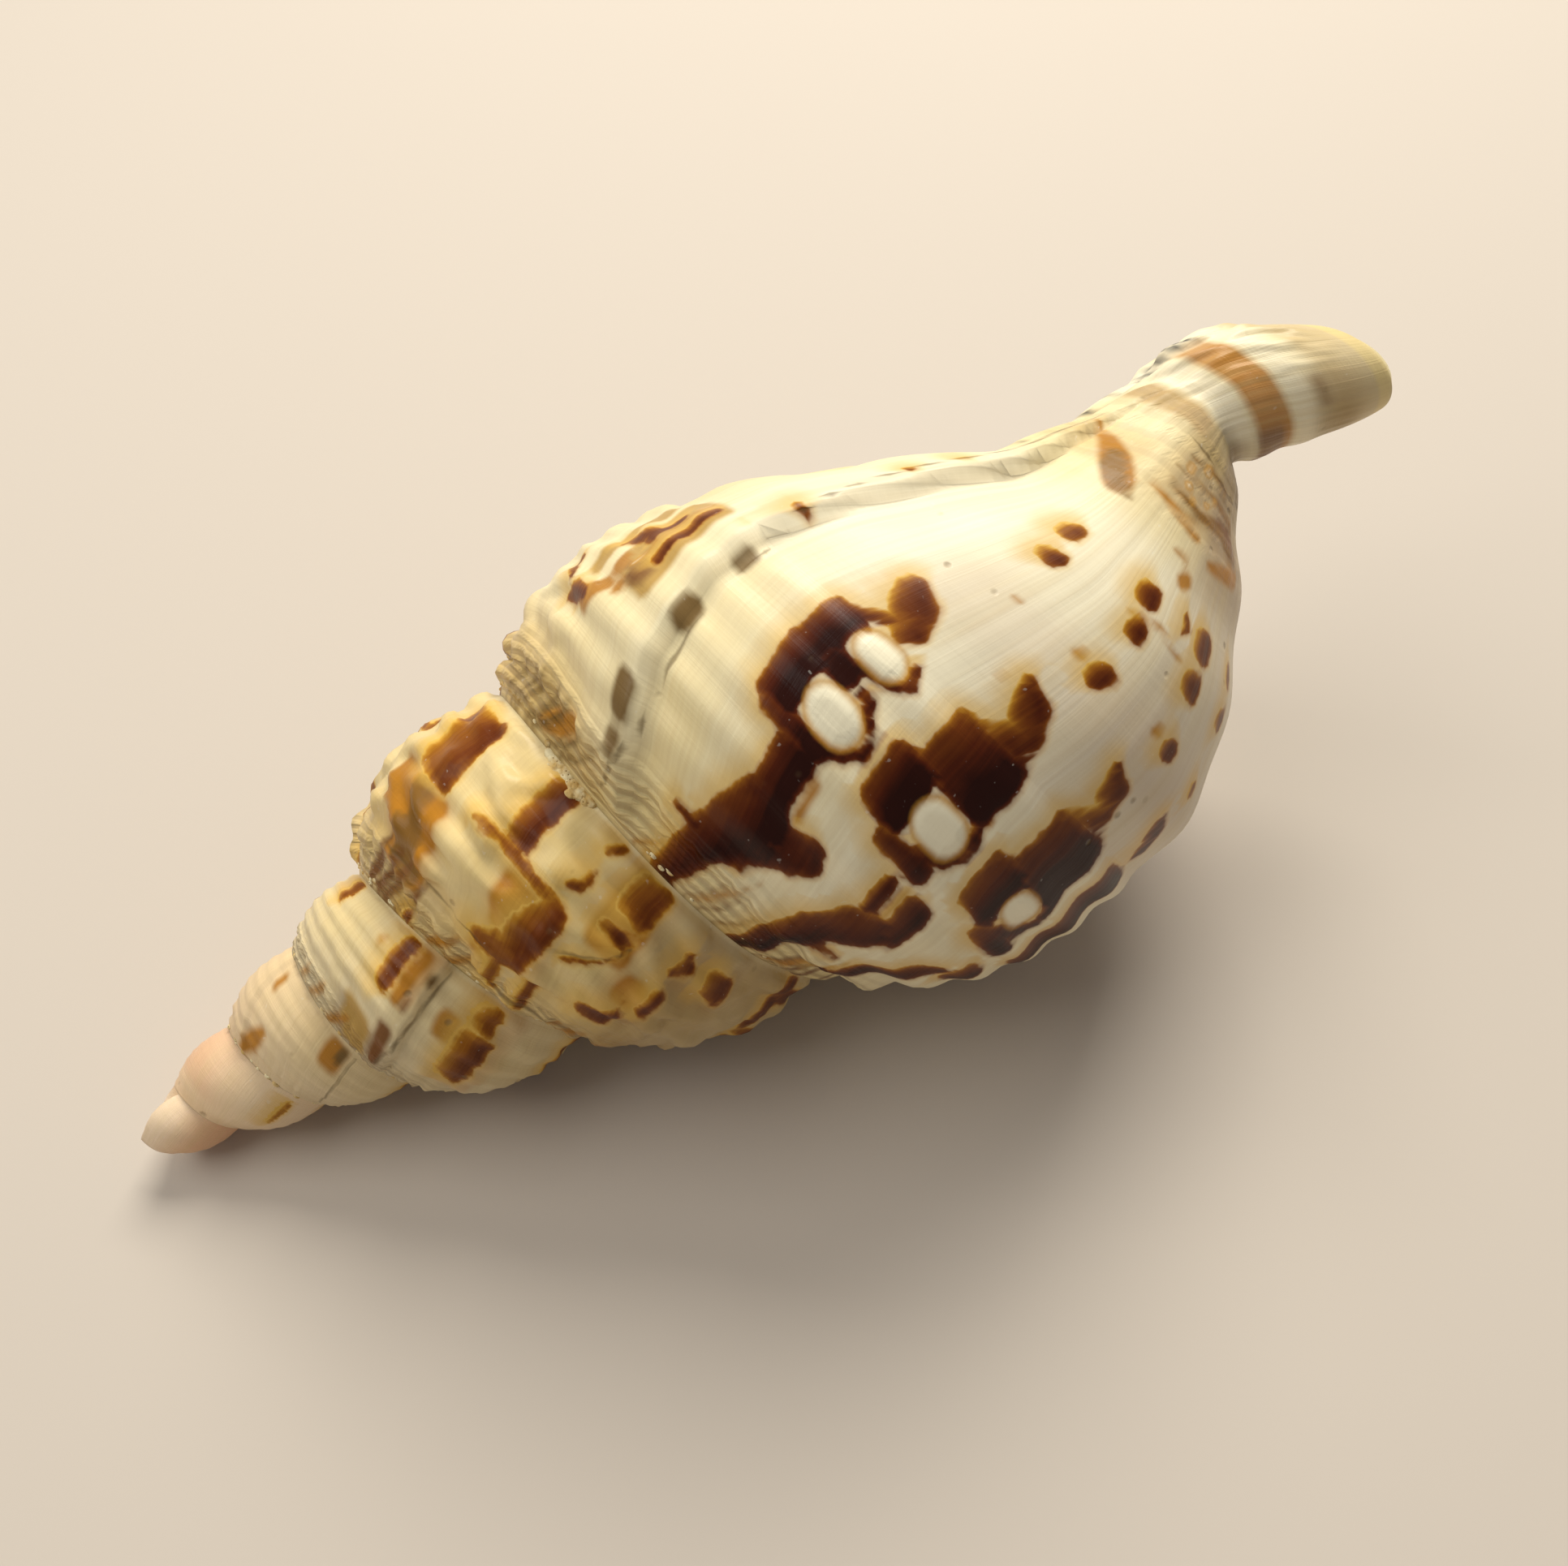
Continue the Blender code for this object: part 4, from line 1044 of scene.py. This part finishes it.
def store(mesh, name, kind, domain, values):
    """Keep one value for each point or face corner with the mesh."""
    layer = mesh.attributes.new(name, kind, domain)
    layer.data.foreach_set(FIELDS[kind], np.asarray(values, np.float32).ravel())


def show(name, data):
    made = bpy.data.objects.new(name, data)
    bpy.context.scene.collection.objects.link(made)
    return made


roots, vertex_of = np.unique(net.same, return_inverse=True)
wall_mesh = bpy.data.meshes.new("shell_wall")
wall_mesh.from_pydata([tuple(p) for p in samples[roots]], [],
                      [[int(vertex_of[c]) for c in f] for f in net.faces])
corner_sample = np.array([c for f in net.faces for c in f], dtype=np.int32)
layer = wall_mesh.attributes.new("sample", "INT", "CORNER")
layer.data.foreach_set("value", corner_sample)
work = bmesh.new()
work.from_mesh(wall_mesh)
bmesh.ops.recalc_face_normals(work, faces=work.faces[:])
work.to_mesh(wall_mesh)
work.free()
wall_mesh.attributes["sample"].data.foreach_get("value", corner_sample)
wall_mesh.attributes.remove(wall_mesh.attributes["sample"])
uv = wall_mesh.uv_layers.new(name="growth")
uv.data.foreach_set("uv", np.stack((turn_of, across_of), -1)[corner_sample].astype(np.float32).ravel())
for name, values in (("dark", dark), ("late", late), ("depth", depth), ("stain", stain),
                     ("white", white), ("crack", crack)):
    store(wall_mesh, name, "FLOAT", "CORNER", values[corner_sample])
for name, values in (("ground", ground), ("stain_colour", stain_colour)):
    rgba = np.concatenate((values, np.ones((len(values), 1))), 1)
    store(wall_mesh, name, "FLOAT_COLOR", "CORNER", rgba[corner_sample])
for name, values in (("turn", turn_of), ("across", across_of), ("is_outside", outside)):
    store(wall_mesh, name, "FLOAT", "POINT", values[roots])
wall = show("shell_wall", wall_mesh)
print("vertices:", len(roots), "faces:", len(wall_mesh.polygons))

# %% [markdown]
# ## The glaze
# The outside of the shell is porcelain-like: a thin clear gloss over chalky colour.
# Small groups do one job each: fine growth lines, knobbly cords, ragged mark edges,
# wear, and the colour of a mark. That colour comes from one ramp that runs from amber,
# where the mark begins, to the dark brown where it ends.


# %% Help with node trees
def opaque(colour):
    """Colour for a socket, from a screen colour code; a socket passes unchanged."""
    return (*map(float, tint(colour)), 1.0) if isinstance(colour, str) else colour


class Tree:
    """Short way to add nodes to a tree and to wire them."""

    def __init__(self, tree):
        self.tree = tree

    def wire(self, node, inputs):
        for key, value in dict(inputs).items():
            if isinstance(value, bpy.types.NodeSocket):
                self.tree.links.new(value, node.inputs[key])
            else:
                node.inputs[key].default_value = value
        return node

    def node(self, kind, inputs=(), **settings):
        made = self.tree.nodes.new(kind)
        for key, value in settings.items():
            setattr(made, key, value)
        return self.wire(made, inputs)

    def math(self, operation, a, b=0.0, c=0.0):
        return self.node("ShaderNodeMath", {0: a, 1: b, 2: c}, operation=operation).outputs[0]

    def times(self, first, *others):
        for factor in others:
            first = self.math("MULTIPLY", first, factor)
        return first

    def add_up(self, total, *parts):
        """Total plus the sum of value times share."""
        for value, share in parts:
            total = self.math("MULTIPLY_ADD", value, share, total)
        return total

    def between(self, value, low, high):
        """Soft step from 0 at low to 1 at high."""
        limits = {"Value": value, "From Min": low, "From Max": high}
        return self.node("ShaderNodeMapRange", limits, interpolation_type="SMOOTHSTEP").outputs[0]

    def noise(self, vector, scale, detail, roughness=0.5):
        return self.node("ShaderNodeTexNoise", {"Vector": vector, "Scale": scale, "Detail": detail,
                                                "Roughness": roughness}).outputs[0]

    def cells(self, vector, scale):
        made = self.node("ShaderNodeTexVoronoi", {"Vector": vector, "Scale": scale})
        return made.outputs["Distance"]

    def stretched(self, place, x, y):
        """Place with its two directions counted in finer steps."""
        return self.node("ShaderNodeMapping", {"Vector": place, "Scale": (x, y, 1.0)}).outputs[0]

    def split(self, vector):
        return self.node("ShaderNodeSeparateXYZ", {0: vector}).outputs

    def join(self, *parts):
        return self.node("ShaderNodeCombineXYZ", dict(enumerate(parts))).outputs[0]

    def mix(self, share, a, b):
        made = self.node("ShaderNodeMix", {0: share, 6: opaque(a), 7: opaque(b)}, data_type="RGBA")
        return made.outputs[2]

    def layer_on(self, colour, *layers):
        """Lay colour after colour over the first one: value, share, code."""
        for value, share, code in layers:
            colour = self.mix(self.times(value, share), colour, code)
        return colour

    def ramp(self, value, codes):
        made = self.node("ShaderNodeValToRGB", {"Fac": value})
        marks = made.color_ramp.elements
        while len(marks) < len(codes):
            marks.new(0.5)
        for k, (mark, code) in enumerate(zip(marks, codes)):
            mark.position = k / (len(codes) - 1)
            mark.color = opaque(code)
        return made.outputs["Color"]

    def bump(self, height, distance, strength):
        return self.node("ShaderNodeBump", {"Height": height, "Distance": distance,
                                            "Strength": strength}).outputs[0]

    def use(self, name, **inputs):
        return self.node("ShaderNodeGroup", inputs, node_tree=GROUPS[name]).outputs


print("ways to add a node:", sum(not name.startswith("_") for name in vars(Tree)))

# %% Node groups and materials
SOCKETS = {"Place": "Vector", "Spot": "Vector", "Color": "Color", "Fineness": "Int",
           "Geometry": "Geometry"}
GROUPS = {}


class Group(Tree):
    """Node group that makes its sockets from their names."""

    def __init__(self, name, *labels, kind="ShaderNodeTree"):
        super().__init__(bpy.data.node_groups.new(name, kind))
        self.sockets(labels, "INPUT")
        self.given = self.node("NodeGroupInput").outputs

    def sockets(self, labels, way):
        for label in labels:
            self.tree.interface.new_socket(label, in_out=way,
                                           socket_type="NodeSocket" + SOCKETS.get(label, "Float"))

    def close(self, **results):
        self.sockets(results, "OUTPUT")
        self.node("NodeGroupOutput", results)
        return self.tree


def new_material(name):
    """Material, its tree and its main shader."""
    material = bpy.data.materials.new(name)
    material.use_nodes = True
    return material, Tree(material.node_tree), material.node_tree.nodes["Principled BSDF"]


def keep(tree):
    GROUPS[tree.name] = tree
    print("shader group:", tree.name, "nodes:", len(tree.nodes))


print("kinds of sockets:", sorted(set(SOCKETS.values())))


# %% Group: fine growth lines
def growth_lines():
    tree = Group("growth_lines", "Place")
    place_in = tree.given["Place"]
    fine = tree.noise(tree.stretched(place_in, 260.0, 2.2), 1.0, 3.0, 0.6)
    band = tree.noise(tree.stretched(place_in, 55.0, 1.1), 1.0, 2.0)
    threads = tree.noise(tree.stretched(place_in, 10.0, 95.0), 1.0, 2.0)
    return tree.close(Height=tree.add_up(tree.times(threads, 0.4), (fine, 0.6)),
                      Tone=tree.between(fine, 0.35, 0.7), Band=tree.between(band, 0.38, 0.66))


keep(growth_lines())

# %% Group: knobbly cords near the suture and on the collar, with painted shade in their grooves
CORD_ROWS = 27.0


def suture_cords():
    tree = Group("suture_cords", "Place")
    place_in = tree.given["Place"]
    wander = tree.noise(tree.stretched(place_in, 30.0, 6.0), 1.0, 1.0)
    x, y = tree.split(place_in)[:2]
    across = tree.add_up(y, (tree.math("SUBTRACT", wander, 0.5), 0.018))
    wave = tree.math("SINE", tree.times(across, CORD_ROWS * TAU))
    slant = tree.times(tree.add_up(x, (y, -0.45)), 120.0)
    lumpy = tree.noise(tree.join(slant, tree.times(y, CORD_ROWS * 0.9)), 1.0, 1.5)
    knobby = tree.add_up(0.55, (tree.between(lumpy, 0.36, 0.62), 0.45))
    rope = tree.times(tree.between(wave, -0.8, 0.8), knobby)
    shoulder = tree.times(tree.between(across, 0.3, 0.14), tree.between(across, 0.0, 0.03),
                          tree.between(x, 3.2, 4.6))
    collar = tree.times(tree.between(across, 1.3, 1.38), tree.between(across, 1.56, 1.48), 0.3)
    zone = tree.math("MAXIMUM", shoulder, collar)
    # The grooves between the cords get painted shade.
    return tree.close(Height=tree.times(rope, zone),
                      Groove=tree.times(tree.between(wave, -0.1, -0.9), zone))


keep(suture_cords())


# %% Group: ragged mark edges
def ragged_edge():
    tree = Group("ragged_edge", "Distance", "Place", "Spot")
    teeth = tree.noise(tree.stretched(tree.given["Place"], 80.0, 26.0), 1.0, 2.0)
    grain = tree.noise(tree.given["Spot"], 500.0, 2.0)
    return tree.close(Distance=tree.add_up(tree.given["Distance"],
                                           (tree.math("SUBTRACT", teeth, 0.5), 0.6),
                                           (tree.math("SUBTRACT", grain, 0.5), 0.45)))


keep(ragged_edge())


# %% Group: pits, dust and cloudiness
def wear():
    tree = Group("wear", "Spot")
    spot = tree.given["Spot"]
    rare = tree.between(tree.noise(spot, 160.0, 2.0), 0.56, 0.66)
    return tree.close(Pits=tree.times(tree.between(tree.cells(spot, 420.0), 0.16, 0.05), rare),
                      Dust=tree.between(tree.noise(spot, 1900.0, 1.0), 0.74, 0.8),
                      Cloud=tree.between(tree.noise(spot, 70.0, 4.0, 0.6), 0.36, 0.66))


keep(wear())

# %% Group: colour of a mark
MARK_RAMP = ("e0b456", "bd8326", "925615", "6e350c", "4f1c06", "2a0a03")


def mark_colour():
    """Colour and cover of a brown mark: hazy amber where it starts, crisp where it ends."""
    tree = Group("mark_colour", "Distance", "Late", "Depth", "Cloud", "Tone")
    distance = tree.given["Distance"]
    late_soft = tree.between(tree.given["Late"], 0.0, 0.9)
    brown = tree.add_up(-0.12, (late_soft, 0.44), (tree.given["Depth"], 0.56),
                        (tree.between(distance, 0.35, -0.75), 0.34),
                        (tree.given["Cloud"], -0.24), (tree.given["Tone"], -0.07),
                        (tree.between(distance, -0.25, 0.6), -0.6))
    haze = tree.between(distance, tree.add_up(2.05, (late_soft, -1.45)), -0.1)
    crisp = tree.between(distance, 0.3, -0.05)
    return tree.close(Color=tree.ramp(brown, MARK_RAMP),
                      Cover=tree.math("MAXIMUM", crisp, tree.times(haze, 0.66)))


keep(mark_colour())


# %% Material of the wall
def glazed_shell():
    material, tree, surface = new_material("glazed_shell")
    place_uv = tree.node("ShaderNodeUVMap", uv_map="growth").outputs[0]
    spot = tree.node("ShaderNodeTexCoord").outputs["Object"]
    read = {name: tree.node("ShaderNodeAttribute", attribute_name=name).outputs[output]
            for name, output in (("ground", "Color"), ("stain_colour", "Color"), ("dark", "Fac"),
                                 ("late", "Fac"), ("depth", "Fac"), ("stain", "Fac"),
                                 ("white", "Fac"), ("crack", "Fac"))}
    lines = tree.use("growth_lines", Place=place_uv)
    cords = tree.use("suture_cords", Place=place_uv)
    worn = tree.use("wear", Spot=spot)
    # Over the ground go growth bands, tone, painted shade in the cord grooves and cloudiness.
    colour = tree.layer_on(read["ground"], (lines["Band"], 0.16, "dcc384"),
                           (lines["Tone"], 0.14, "b9935a"), (cords["Groove"], 0.5, "7c5b2a"),
                           (worn["Cloud"], 0.14, "f6efda"))
    stained = tree.between(tree.add_up(read["stain"], (worn["Cloud"], 0.35)), 0.5, -0.2)
    colour = tree.layer_on(colour, (stained, 0.92, read["stain_colour"]))
    ragged = tree.use("ragged_edge", Distance=read["dark"], Place=place_uv, Spot=spot)["Distance"]
    mark = tree.use("mark_colour", Distance=ragged, Late=read["late"], Depth=read["depth"],
                    Cloud=worn["Cloud"], Tone=lines["Tone"])
    # Thin dark lines, mostly painted shade in grooves, creases and along the suture, darken the colour
    # and dip the bump.
    line = tree.between(read["crack"], 0.16, -0.06)
    oval = tree.add_up(read["white"], (worn["Cloud"], 0.2))
    colour = tree.layer_on(colour, (mark["Cover"], 1.0, mark["Color"]), (line, 0.62, "69502a"),
                           (tree.between(oval, 0.45, 0.1), 0.6, "c08a34"),
                           (tree.between(oval, 0.22, -0.45), 1.0, "f8eed0"),
                           (worn["Pits"], 0.6, "8a7350"), (worn["Dust"], 0.18, "f4f0e6"))
    height = tree.add_up(cords["Height"], (lines["Height"], 0.3), (worn["Pits"], -0.5),
                         (line, -0.25), (tree.between(oval, 0.1, -0.9), 0.9))
    tree.wire(surface, {"Base Color": colour,
                        "Roughness": tree.add_up(0.3, (worn["Cloud"], 0.16), (worn["Dust"], 0.3)),
                        "Normal": tree.bump(height, 0.00022, 0.75), "Coat Weight": 0.05,
                        "Coat Roughness": 0.15, "Specular IOR Level": 0.16})
    return material


wall_material = glazed_shell()
print("material:", wall_material.name, "nodes:", len(wall_material.node_tree.nodes))

# %% [markdown]
# ## Fine relief on the wall
# A node tree lifts the wall along its own normals: low waves where growth slowed, blunt
# beads near the suture, and low knobs on the middle whorls. It fades out at the
# sutures, so neighbouring whorls stay welded.


# %% Node trees for shapes
class Geometry(Group):
    """Group that changes a mesh: it takes one in and gives one back."""

    def __init__(self, name, *labels):
        super().__init__(name, "Geometry", *labels, kind="GeometryNodeTree")

    def field(self, name, kind="FLOAT"):
        made = self.node("GeometryNodeInputNamedAttribute", {"Name": name}, data_type=kind)
        return made.outputs["Attribute"]

    def position(self):
        return self.node("GeometryNodeInputPosition").outputs[0]

    def swell(self, geometry, height):
        """Push the surface out along its own normals."""
        normal = self.node("GeometryNodeInputNormal").outputs[0]
        push = self.node("ShaderNodeVectorMath", {0: normal, "Scale": height}, operation="SCALE")
        return self.node("GeometryNodeSetPosition", {"Geometry": geometry,
                                                     "Offset": push.outputs[0]}).outputs[0]

    def finish(self, geometry, material):
        real = self.node("GeometryNodeRealizeInstances", {"Geometry": geometry}).outputs[0]
        done = self.node("GeometryNodeSetMaterial", {"Geometry": real, "Material": material})
        return self.close(Geometry=done.outputs[0])


def bake(thing, tree, values):
    """Run the tree on the object once and keep its result as a plain mesh."""
    modifier = thing.modifiers.new(tree.name, "NODES")
    modifier.node_group = tree
    for item in tree.interface.items_tree:
        if item.item_type == "SOCKET" and item.in_out == "INPUT" and item.name in values:
            modifier[item.identifier] = values[item.name]
    bpy.context.view_layer.update()
    result = thing.evaluated_get(bpy.context.evaluated_depsgraph_get())
    mesh = bpy.data.meshes.new_from_object(result)
    thing.modifiers.remove(modifier)
    old = thing.data
    name = old.name
    thing.data = mesh
    bpy.data.meshes.remove(old)
    mesh.name = name
    mesh.shade_smooth()


RELIEF = {"Growth wave height": 0.00022, "Waves per turn": 62.0, "Bead height": 0.0003,
          "Knob height": 0.0005, "Knobs per turn": 27.0, "Floor height": 0.0}


def relief_tree(material):
    geo = Geometry("fine_relief", *RELIEF)
    turn, across, seen = (geo.field(name) for name in ("turn", "across", "is_outside"))
    given = geo.given
    waves = geo.join(geo.times(turn, given["Waves per turn"]), geo.times(across, 1.6))
    wave = geo.math("SUBTRACT", geo.noise(waves, 1.0, 1.0), 0.5)
    cord = geo.math("SINE", geo.times(across, CORDS_PER_WHORL * TAU))
    bead = geo.times(geo.between(wave, -0.08, 0.12), geo.between(cord, -0.6, 0.9),
                     geo.between(across, 0.36, 0.2))
    knobs = geo.join(geo.times(turn, given["Knobs per turn"]),
                     geo.times(across, CORDS_PER_WHORL * 1.3))
    knob = geo.times(geo.between(geo.noise(knobs, 1.0, 0.5), 0.42, 0.66),
                     geo.between(turn, 4.0, 4.8), geo.between(turn, 6.35, 6.05))
    high = geo.add_up(geo.times(wave, given["Growth wave height"]), (bead, given["Bead height"]),
                      (knob, given["Knob height"]))
    suture = geo.math("ABSOLUTE", geo.math("SUBTRACT", across, 1.0))
    high = geo.times(high, geo.between(turn, 2.2, 5.5), geo.between(across, 0.02, 0.08), seen,
                     geo.between(suture, 0.0, 0.05), geo.between(across, 1.97, 1.85))
    x, y, z = geo.split(geo.position())
    flat = geo.join(x, y, geo.math("MAXIMUM", z, given["Floor height"]))
    rested = geo.node("GeometryNodeSetPosition", {"Geometry": geo.swell(given["Geometry"], high),
                                                  "Position": flat})
    return geo.finish(rested.outputs[0], material)


bake(wall, relief_tree(wall_material), RELIEF)
print("wall after relief, vertices:", len(wall.data.vertices), wall.data.attributes.keys())

# %% [markdown]
# ## Ridges, knobs and crust
# Inside the lip stand pairs of white teeth, and across the columella run white folds
# with dark brown between them. Along the sutures sit small chalky knobs, and one patch
# of lime crust clings to the last suture. Each kind is one list of points with a
# direction and a size; a node tree puts a lump on every point and roughens it.


# %% Points for the lumps
TOOTH_DEPTH = 0.024
TOOTH_GAP = 0.02
TOOTH_SIZE = (0.0017, 0.00042, 0.0004)
FOLD_DEPTH = 0.1
FOLD_SIZE = (0.0024, 0.00042, 0.00036)
RIDGE_ROW = (1.12, 1.8)
RIDGE_COUNT = 17
KNOB_SIZE = (0.00026, 0.00018, 0.00015)
CRUST_SIZE = (0.00042, 0.00034, 0.00026)
CRUST_TURNS = (5.272, 5.326)
chance = np.random.default_rng(7)


def tangent(place_at, turn, u, d_turn, d_u):
    return unit(place_at(turn + d_turn, u + d_u) - place_at(turn - d_turn, u - d_u))


def lump_points(name, spots, ways, ups, sizes):
    mesh = bpy.data.meshes.new(name)
    mesh.from_pydata([tuple(p) for p in lay_down(spots) + shift], [], [])
    for label, values in (("long", lay_down(ways)), ("up", lay_down(ups)), ("size", sizes)):
        store(mesh, label, "FLOAT_VECTOR", "POINT", values)
    return show(name, mesh)


def lip_teeth():
    middle = LIP_ROW[0] + (np.arange(LIP_PAIRS) + 0.5) / LIP_PAIRS * (LIP_ROW[1] - LIP_ROW[0])
    u = np.sort(np.concatenate((middle - TOOTH_GAP, middle + TOOTH_GAP)))
    turn = growth_line(TOOTH_DEPTH, u)
    return lump_points("lip_teeth", inner_point(turn, u, thickness(TOOTH_DEPTH)),
                       tangent(outer_point, turn, u, STEP, 0.0), -wall_normal(turn, u),
                       np.outer(chance.uniform(0.8, 1.15, len(u)), TOOTH_SIZE))


def columella_folds():
    u = np.linspace(*RIDGE_ROW, RIDGE_COUNT) + chance.uniform(-0.006, 0.006, RIDGE_COUNT)
    ways = tangent(columella_point, FOLD_DEPTH, u, 0.02, 0.0)
    ups = unit(np.cross(ways, tangent(columella_point, FOLD_DEPTH, u, 0.0, 0.01)))
    edge = growth_line(1.0 - LEAN, u)
    ups = ups * np.sign(np.sum(ups * outward(edge), -1, keepdims=True))
    sizes = np.tile(FOLD_SIZE, (RIDGE_COUNT, 1))
    sizes[:, 0] = np.minimum(FOLD_SIZE[0], 0.8 * FOLD_DEPTH * math.pi * profile(edge, u)[1])
    sizes = sizes * chance.uniform(0.75, 1.0, RIDGE_COUNT)[:, None]
    return lump_points("columella_folds", columella_point(FOLD_DEPTH, u), ways, ups, sizes)


def on_wall(name, line, u, sizes):
    """Lumps that sit on the outside of the wall."""
    turn = growth_line(LIP_TURN - line, u)
    return lump_points(name, outer_point(turn, u), tangent(outer_point, turn, u, STEP, 0.0),
                       wall_normal(turn, u), sizes)


def suture_knobs(count):
    line = chance.uniform(2.7, 6.8, count)
    u = chance.uniform(0.012, 0.05, count)
    return on_wall("suture_knobs", line, u, np.outer(chance.uniform(0.5, 1.25, count), KNOB_SIZE))


def lime_crust(count):
    line = chance.uniform(*CRUST_TURNS, count)
    narrow = 1.0 - np.abs(line - sum(CRUST_TURNS) / 2) / 0.035
    u = 1.0 - np.abs(chance.normal(0.0, 0.03, count)) * narrow
    return on_wall("lime_crust", line, u, np.outer(chance.uniform(0.4, 1.2, count), CRUST_SIZE))


lumps = [(lip_teeth(), "ridge_enamel", 3, 0.00016), (columella_folds(), "ridge_enamel", 3, 0.00016),
         (suture_knobs(150), "chalk", 2, 0.00012), (lime_crust(110), "chalk", 2, 0.00022)]
print("lumps:", {thing.name: len(thing.data.vertices) for thing, *_ in lumps})


# %% Materials of the lumps
def ridge_enamel():
    material, tree, surface = new_material("ridge_enamel")
    spot = tree.node("ShaderNodeTexCoord").outputs["Object"]
    cloud = tree.noise(spot, 600.0, 3.0)
    tree.wire(surface, {"Base Color": tree.mix(tree.between(cloud, 0.4, 0.65), "f6e9cb", "ddb37c"),
                        "Roughness": tree.add_up(0.15, (cloud, 0.3)),
                        "Normal": tree.bump(tree.noise(spot, 2600.0, 1.0), 0.00005, 0.4),
                        "Coat Weight": 0.2})
    return material


def chalk():
    material, tree, surface = new_material("chalk")
    spot = tree.node("ShaderNodeTexCoord").outputs["Object"]
    cloud = tree.between(tree.noise(spot, 900.0, 4.0), 0.35, 0.65)
    holes = tree.cells(spot, 3200.0)
    colour = tree.mix(tree.between(holes, 0.25, 0.08), tree.mix(cloud, "f1e4bb", "cfae6e"), "8c6a3a")
    tree.wire(surface, {"Base Color": colour, "Normal": tree.bump(holes, 0.0001, 0.7),
                        "Roughness": 0.8, "Specular IOR Level": 0.2})
    return material


LUMP_MATERIALS = {"ridge_enamel": ridge_enamel(), "chalk": chalk()}
print("materials of the lumps:", sorted(LUMP_MATERIALS))


# %% Node tree that puts the lumps on their points
def lump_tree(material):
    geo = Geometry("lumps_" + material.name, "Fineness", "Roughness")
    ball = geo.node("GeometryNodeMeshIcoSphere", {"Radius": 1.0, "Subdivisions": geo.given["Fineness"]})
    align = "FunctionNodeAlignRotationToVector"
    upright = geo.node(align, {"Vector": geo.field("up", "FLOAT_VECTOR")}, axis="Z")
    turned = geo.node(align, {"Rotation": upright.outputs[0],
                              "Vector": geo.field("long", "FLOAT_VECTOR")}, axis="X", pivot_axis="Z")
    placed = geo.node("GeometryNodeInstanceOnPoints",
                      {"Points": geo.given["Geometry"], "Instance": ball.outputs[0],
                       "Rotation": turned.outputs[0], "Scale": geo.field("size", "FLOAT_VECTOR")})
    real = geo.node("GeometryNodeRealizeInstances", {"Geometry": placed.outputs[0]}).outputs[0]
    rough = geo.math("SUBTRACT", geo.noise(geo.position(), 1300.0, 2.0), 0.5)
    return geo.finish(geo.swell(real, geo.times(rough, geo.given["Roughness"])), material)


LUMP_TREES = {name: lump_tree(material) for name, material in LUMP_MATERIALS.items()}
for thing, kind, fineness, roughness in lumps:
    bake(thing, LUMP_TREES[kind], {"Fineness": fineness, "Roughness": roughness})
    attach(thing, "root")
    print(thing.name, "faces:", len(thing.data.polygons))

# %% Put the wall on its body
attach(wall, "root")
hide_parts("shell")
print("wall rides on the body:", wall.name)

# %% [markdown]
# ## Floor, light and camera
# The shell lies on a plain pale floor. A warm window at the upper right, a weaker lamp
# at the left and a faint sky keep the shadows soft. The camera looks down at about 55
# degrees.

# %% Stage
FLOOR_HALF = 0.6
floor_material, floor_tree, floor_surface = new_material("pale_floor")
floor_tree.wire(floor_surface, {"Base Color": opaque("cdc2b6"), "Roughness": 0.9})
floor_mesh = bpy.data.meshes.new("floor")
floor_mesh.from_pydata([(x * FLOOR_HALF, y * FLOOR_HALF, 0)
                        for x, y in ((-1, -1), (1, -1), (1, 1), (-1, 1))], [], [(0, 1, 2, 3)])
floor_mesh.materials.append(floor_material)
show("floor", floor_mesh)


def area_light(name, spot, aim, size, power, colour):
    data = bpy.data.lights.new(name, "AREA")
    data.size = size
    data.energy = power
    data.color = colour
    made = show(name, data)
    made.location = spot
    made.rotation_euler = (Vector(aim) - Vector(spot)).to_track_quat("-Z", "Y").to_euler()


area_light("window", (0.2, 0.26, 0.4), (0.0, 0.0, 0.01), 0.26, 2.7, (1.0, 0.97, 0.88))
area_light("fill", (-0.3, 0.12, 0.45), (-0.02, 0.0, 0.01), 0.4, 1.3, (1.0, 0.98, 0.92))
world = bpy.data.worlds.new("soft_sky")
world.use_nodes = True
sky = world.node_tree.nodes["Background"].inputs
sky["Color"].default_value = (1.0, 0.97, 0.93, 1.0)
sky["Strength"].default_value = 0.22
bpy.context.scene.world = world
bpy.context.scene.view_settings.view_transform = "Standard"
print("floor and two lights are set")

# %% Camera
CAMERA_SPOT = Vector((-0.0279, -0.06025, 0.11511))
CAMERA_WAY = Vector((0.2469, 0.5098, -0.8241))
camera_data = bpy.data.cameras.new("camera")
camera_data.lens = 36.0
camera_data.sensor_width = 36.0
camera_data.clip_start = 0.005
camera = show("camera", camera_data)
camera.location = CAMERA_SPOT
camera.rotation_euler = CAMERA_WAY.to_track_quat("-Z", "Y").to_euler()
bpy.context.scene.camera = camera
print("camera height, mm:", round(camera.location.z * 1000))
